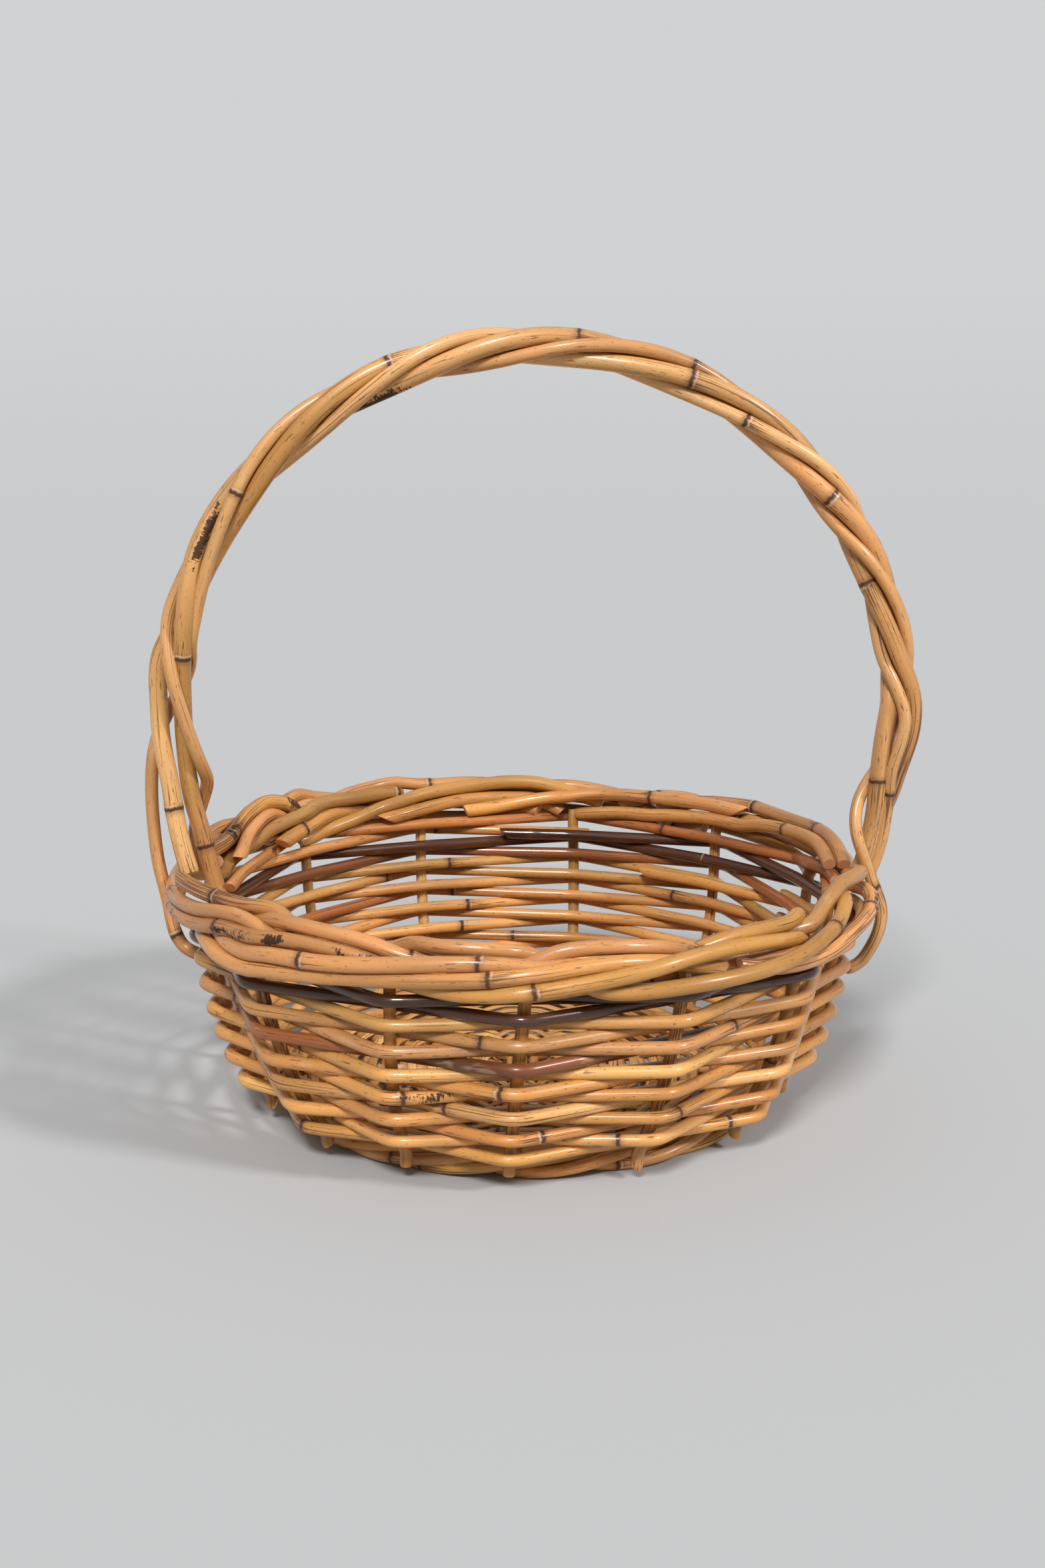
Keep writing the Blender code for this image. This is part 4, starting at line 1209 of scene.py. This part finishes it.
@dataclass(frozen=True)
class Rod:
    """One rod of the handle: its place in the twist, its two ends, and its growth marks.

    first and last are angles from the top of the hoop to the right, rings are angles too, and burns
    are (angle, length, side, spread, strength). start and end are points beyond the twist.
    """

    name: str
    node: str
    turn: int
    radius: float
    offset: float
    first: float
    last: float
    start: tuple[Point, ...]
    end: tuple[Point, ...]
    tones: tuple[tuple[float, Tone], ...]
    streaks: float
    rings: tuple[float, ...]
    burns: tuple[tuple[float, float, float, float, float], ...] = ()
    slants: tuple[float, float] = (0.002, 0.002)


@dataclass
class Handle:
    """The hoop handle: four rods laid loosely round each other, with a twist that tightens at places."""

    centre_x: float = 0.0067
    centre_z: float = 0.2184
    radius: float = 0.2028
    crossings: tuple[float, ...] = (-122, -108, -94, -78, -55, -39, -23, -9.5, 4, 22, 41, 54, 64, 78, 90,
                                    105, 117)
    rods: tuple[Rod, ...] = (
        Rod("bow", "handle_bow", 3, 0.0051, 0.0056, -62.0, 84.0, ((-0.1610, 0.0, 0.0850),
            (-0.1656, 0.0, 0.0960), (-0.1700, 0.0, 0.1080), (-0.1749, 0.0, 0.1237), (-0.1795, 0.0, 0.1444),
            (-0.1815, 0.0, 0.1540), (-0.1855, 0.0, 0.1693), (-0.1886, 0.0, 0.1968), (-0.1893, 0.0, 0.2306),
            (-0.1885, -0.0030, 0.2521), (-0.1868, -0.0050, 0.2680)), ((0.2041, -0.0020, 0.2279),
            (0.2014, -0.0030, 0.2090), (0.1992, -0.0030, 0.1837), (0.1985, -0.0020, 0.1690),
            (0.1970, 0.0, 0.1540), (0.1925, 0.0, 0.1340), (0.1888, 0.0, 0.1240)), ((0.0, Tone.TAN),
            (0.09, Tone.TAN), (0.105, Tone.OLIVE), (0.20, Tone.OLIVE), (0.26, Tone.CREAM),
            (0.5, Tone.CREAM), (0.7, Tone.PEACH), (1.0, Tone.CREAM)), 0.30,
            (-111.7, -80.2, 6.3, 52.8, 100.4), ((-60.0, 0.046, 195.0, 42.0, 0.85),
            (-25.5, 0.034, 250.0, 65.0, 1.0), (-21.5, 0.014, 240.0, 60.0, 0.60),
            (-48.0, 0.030, 150.0, 40.0, 0.48))),
        Rod("rod", "handle_rod", 1, 0.0051, 0.0056, -72.0, 80.0, ((-0.1858, -0.0135, 0.1300),
            (-0.1875, -0.0125, 0.1350), (-0.1919, -0.0100, 0.1512), (-0.1950, -0.0078, 0.1672),
            (-0.1962, -0.0070, 0.1779), (-0.2010, -0.0045, 0.2051), (-0.2025, -0.0010, 0.2249),
            (-0.2015, 0.0020, 0.2520)), ((0.2178, -0.0010, 0.2264), (0.2176, 0.0, 0.2109),
            (0.2143, 0.0020, 0.1966), (0.2112, 0.0040, 0.1857), (0.2085, 0.0065, 0.1740),
            (0.2050, 0.0095, 0.1640)), ((0.0, Tone.CREAM), (0.12, Tone.CREAM), (0.3, Tone.GOLD),
            (0.55, Tone.CREAM), (0.8, Tone.TAN), (1.0, Tone.TAN)), 0.60, (-104.3, -22.2, 24.4, 67.5)),
        Rod("lashing", "handle_lashing", 0, 0.0037, 0.0078, -78.0, 98.0, ((-0.1799, -0.0180, 0.0848),
            (-0.1916, -0.0130, 0.0882), (-0.1956, -0.0120, 0.0947), (-0.2001, -0.0090, 0.1149),
            (-0.2051, -0.0070, 0.1365), (-0.2074, -0.0040, 0.1566), (-0.2082, -0.0015, 0.1794),
            (-0.2072, 0.0035, 0.1970), (-0.2030, 0.0105, 0.2120), (-0.1945, 0.0145, 0.2280),
            (-0.1875, 0.0125, 0.2420), (-0.1850, 0.0060, 0.2500)), ((0.1940, 0.0030, 0.1800),
            (0.1874, -0.0030, 0.1660), (0.1867, -0.0070, 0.1580), (0.1879, -0.0100, 0.1500),
            (0.1923, -0.0130, 0.1390), (0.1970, -0.0150, 0.1242), (0.2018, -0.0155, 0.1127),
            (0.2009, -0.0150, 0.0989), (0.1958, -0.0145, 0.0869), (0.1903, -0.0150, 0.0788),
            (0.1820, -0.0175, 0.0765)), ((0.0, Tone.PEACH), (0.25, Tone.CREAM), (0.6, Tone.PEACH),
            (1.0, Tone.CREAM)), 0.40, (-121.4, -52.5, 23.8, 116.3)),
        Rod("wrap", "handle_wrap", 2, 0.0037, 0.0078, -74.0, 80.0, ((-0.1842, 0.0050, 0.1262),
            (-0.1864, 0.0080, 0.1398), (-0.1865, 0.0105, 0.1528), (-0.1812, 0.0095, 0.1687),
            (-0.1772, 0.0030, 0.1814), (-0.1790, -0.0040, 0.1904), (-0.1850, -0.0085, 0.2104),
            (-0.1893, -0.0095, 0.2253), (-0.1930, -0.0090, 0.2400)), ((0.2061, -0.0080, 0.2369),
            (0.2121, -0.0085, 0.2208), (0.2096, -0.0075, 0.2015), (0.2063, -0.0065, 0.1909),
            (0.2057, -0.0030, 0.1759), (0.2050, 0.0, 0.1631), (0.2030, 0.0010, 0.1463),
            (0.1990, 0.0015, 0.1320), (0.1965, 0.0020, 0.1260)), ((0.0, Tone.TAN), (0.4, Tone.CREAM),
            (1.0, Tone.CREAM)), 0.45, (-66.0, 34.9, 102.1)),
    )

    def _path(self, rod: Rod) -> np.ndarray:
        """A rod's path: its twisted run round the hoop, and its own ends."""
        count = math.ceil((rod.last - rod.first) / 4.9)
        angle = np.linspace(rod.first, rod.last, count + 1)
        passed = np.interp(angle, self.crossings, range(len(self.crossings)))
        phase = math.pi / 2 * (1 - passed + rod.turn)
        out = self.radius + rod.offset * np.cos(phase)
        run = np.stack([self.centre_x + out * np.sin(np.radians(angle)), -rod.offset * np.sin(phase),
                        self.centre_z + out * np.cos(np.radians(angle))], axis=-1)
        parts = [np.array(part, float).reshape(-1, 3) for part in (rod.start, run, rod.end)]
        return rounded_path(through_points(np.concatenate(parts), 0.002), 0.004)

    def _places(self, path: np.ndarray, angles: Sequence[float]) -> tuple[float, ...]:
        """The distances along a rod of angles round the hoop."""
        along = np.degrees(np.unwrap(np.arctan2(path[:, 0] - self.centre_x, path[:, 2] - self.centre_z)))
        lengths = arc_lengths(path)
        return tuple(float(lengths[np.abs(along - angle).argmin()]) for angle in angles)

    def legs(self) -> list[tuple[np.ndarray, float]]:
        """The rods' lowest stretches, where the border winds round them."""
        found = []
        for rod in self.rods:
            path = self._path(rod)[::4]
            low = path[:, 2] < 0.158
            for side in (path[:, 0] < 0, path[:, 0] > 0):
                if (low & side).sum() > 2:
                    found.append((path[low & side], rod.radius))
        return found

    def build(self, finishes: Finishes) -> None:
        """Make the four rods.

        Args:
            finishes: The basket's materials.
        """
        for index, rod in enumerate(self.rods):
            path = self._path(rod)
            scorches = tuple(Scorch(self._places(path, (angle,))[0], length, side, spread, strength)
                             for angle, length, side, spread, strength in rod.burns)
            skin = Skin(rod.tones, rod.streaks, self._places(path, rod.rings), scorches, 0.86)
            Cane(f"hoop_{rod.name}", path, rod.radius, skin, 950 + index, across=(0.0, 1.0, 0.0),
                 slants=rod.slants, sides=16, taper=(1.03, 0.97)).build(finishes.handle, "handle", [rod.node])


@dataclass
class Studio:
    """A pale sweep of paper, a soft light from the right, and a camera a little above the rim."""

    paper: Colour = (0.432, 0.437, 0.442)
    world: float = 0.45
    lamps: tuple[tuple[str, Point, float, float], ...] = (
        ("side_light", (0.709, -0.410, 0.574), 1.8, 8.0),
        ("front_light", (-0.110, -0.698, 0.707), 2.6, 12.0))
    lens: float = 50.0
    eye: Point = (0.0, -1.193, 0.453)
    tilt_deg: float = 77.1

    def build(self) -> None:
        """Make the paper, the lights and the camera."""
        scene = bpy.context.scene
        scene.view_settings.view_transform = "Standard"
        self._paper()
        world = bpy.data.worlds.new("studio_air")
        world.use_nodes = True
        world.node_tree.nodes["Background"].inputs["Color"].default_value = (1.0, 1.0, 1.0, 1.0)
        world.node_tree.nodes["Background"].inputs["Strength"].default_value = self.world
        scene.world = world
        for name, place, strength, spread in self.lamps:
            self._lamp(name, place, strength, spread)
        camera = bpy.data.cameras.new("camera")
        camera.lens = self.lens
        eye = bpy.data.objects.new("camera", camera)
        eye.location = Vector(self.eye) + Vector((AXIS_X, 0.0, 0.0))
        eye.rotation_euler = (math.radians(self.tilt_deg), 0.0, 0.0)
        scene.collection.objects.link(eye)
        scene.camera = eye

    def _lamp(self, name: str, place: Point, strength: float, spread: float) -> None:
        """Add a far light that shines from a direction, as broad as its spread in degrees."""
        data = bpy.data.lights.new(name, "SUN")
        data.energy, data.angle = strength, math.radians(spread)
        lamp = bpy.data.objects.new(name, data)
        lamp.location = place
        lamp.rotation_euler = (-Vector(place)).to_track_quat("-Z", "Y").to_euler()
        bpy.context.scene.collection.objects.link(lamp)

    def _paper(self) -> None:
        """A level floor that rises gently behind: a strip along X, an arc of 9 degrees, then straight."""
        bend = np.radians(np.linspace(0.0, 9.0, 19))
        depth = np.concatenate([[-60.0], 3.0 + 40.0 * np.sin(bend), [60.0]])
        height = 40.0 * (1 - np.cos(bend))
        height = np.concatenate([[0.0], height, [height[-1] + (60.0 - depth[-2]) * math.tan(bend[-1])]])
        rows = [(x, float(y), float(z)) for x in (-40.0, 40.0) for y, z in zip(depth, height)]
        count = len(depth)
        faces = [(k + count, k + 1 + count, k + 1, k) for k in range(count - 1)]
        mesh = bpy.data.meshes.new("paper_sweep")
        mesh.from_pydata(rows, [], faces)
        mesh.polygons.foreach_set("use_smooth", [True] * len(faces))
        material = bpy.data.materials.new("pale_paper")
        material.use_nodes = True
        shader = material.node_tree.nodes["Principled BSDF"]
        shader.inputs["Base Color"].default_value = opaque(self.paper)
        shader.inputs["Roughness"].default_value = 0.9
        shader.inputs["Specular IOR Level"].default_value = 0.1
        mesh.materials.append(material)
        paper = bpy.data.objects.new("paper_sweep", mesh)
        bpy.context.scene.collection.objects.link(paper)


def main() -> None:
    """Build the basket from the floor up, and the studio round it."""
    logging.basicConfig(level=logging.INFO, format="%(name)s: %(message)s")
    finishes = Finishes()
    wall, handle = Wall(), Handle()
    weave = Weave(wall)
    Foot().build(finishes)
    Floor().build(finishes, [f"floor_band_{band}" for band in range(1, 6)])
    Stakes(wall).build(finishes)
    weave.build(finishes)
    Border(weave).build(finishes, handle.legs())
    handle.build(finishes)
    Studio().build()


if __name__ == "__main__":
    main()
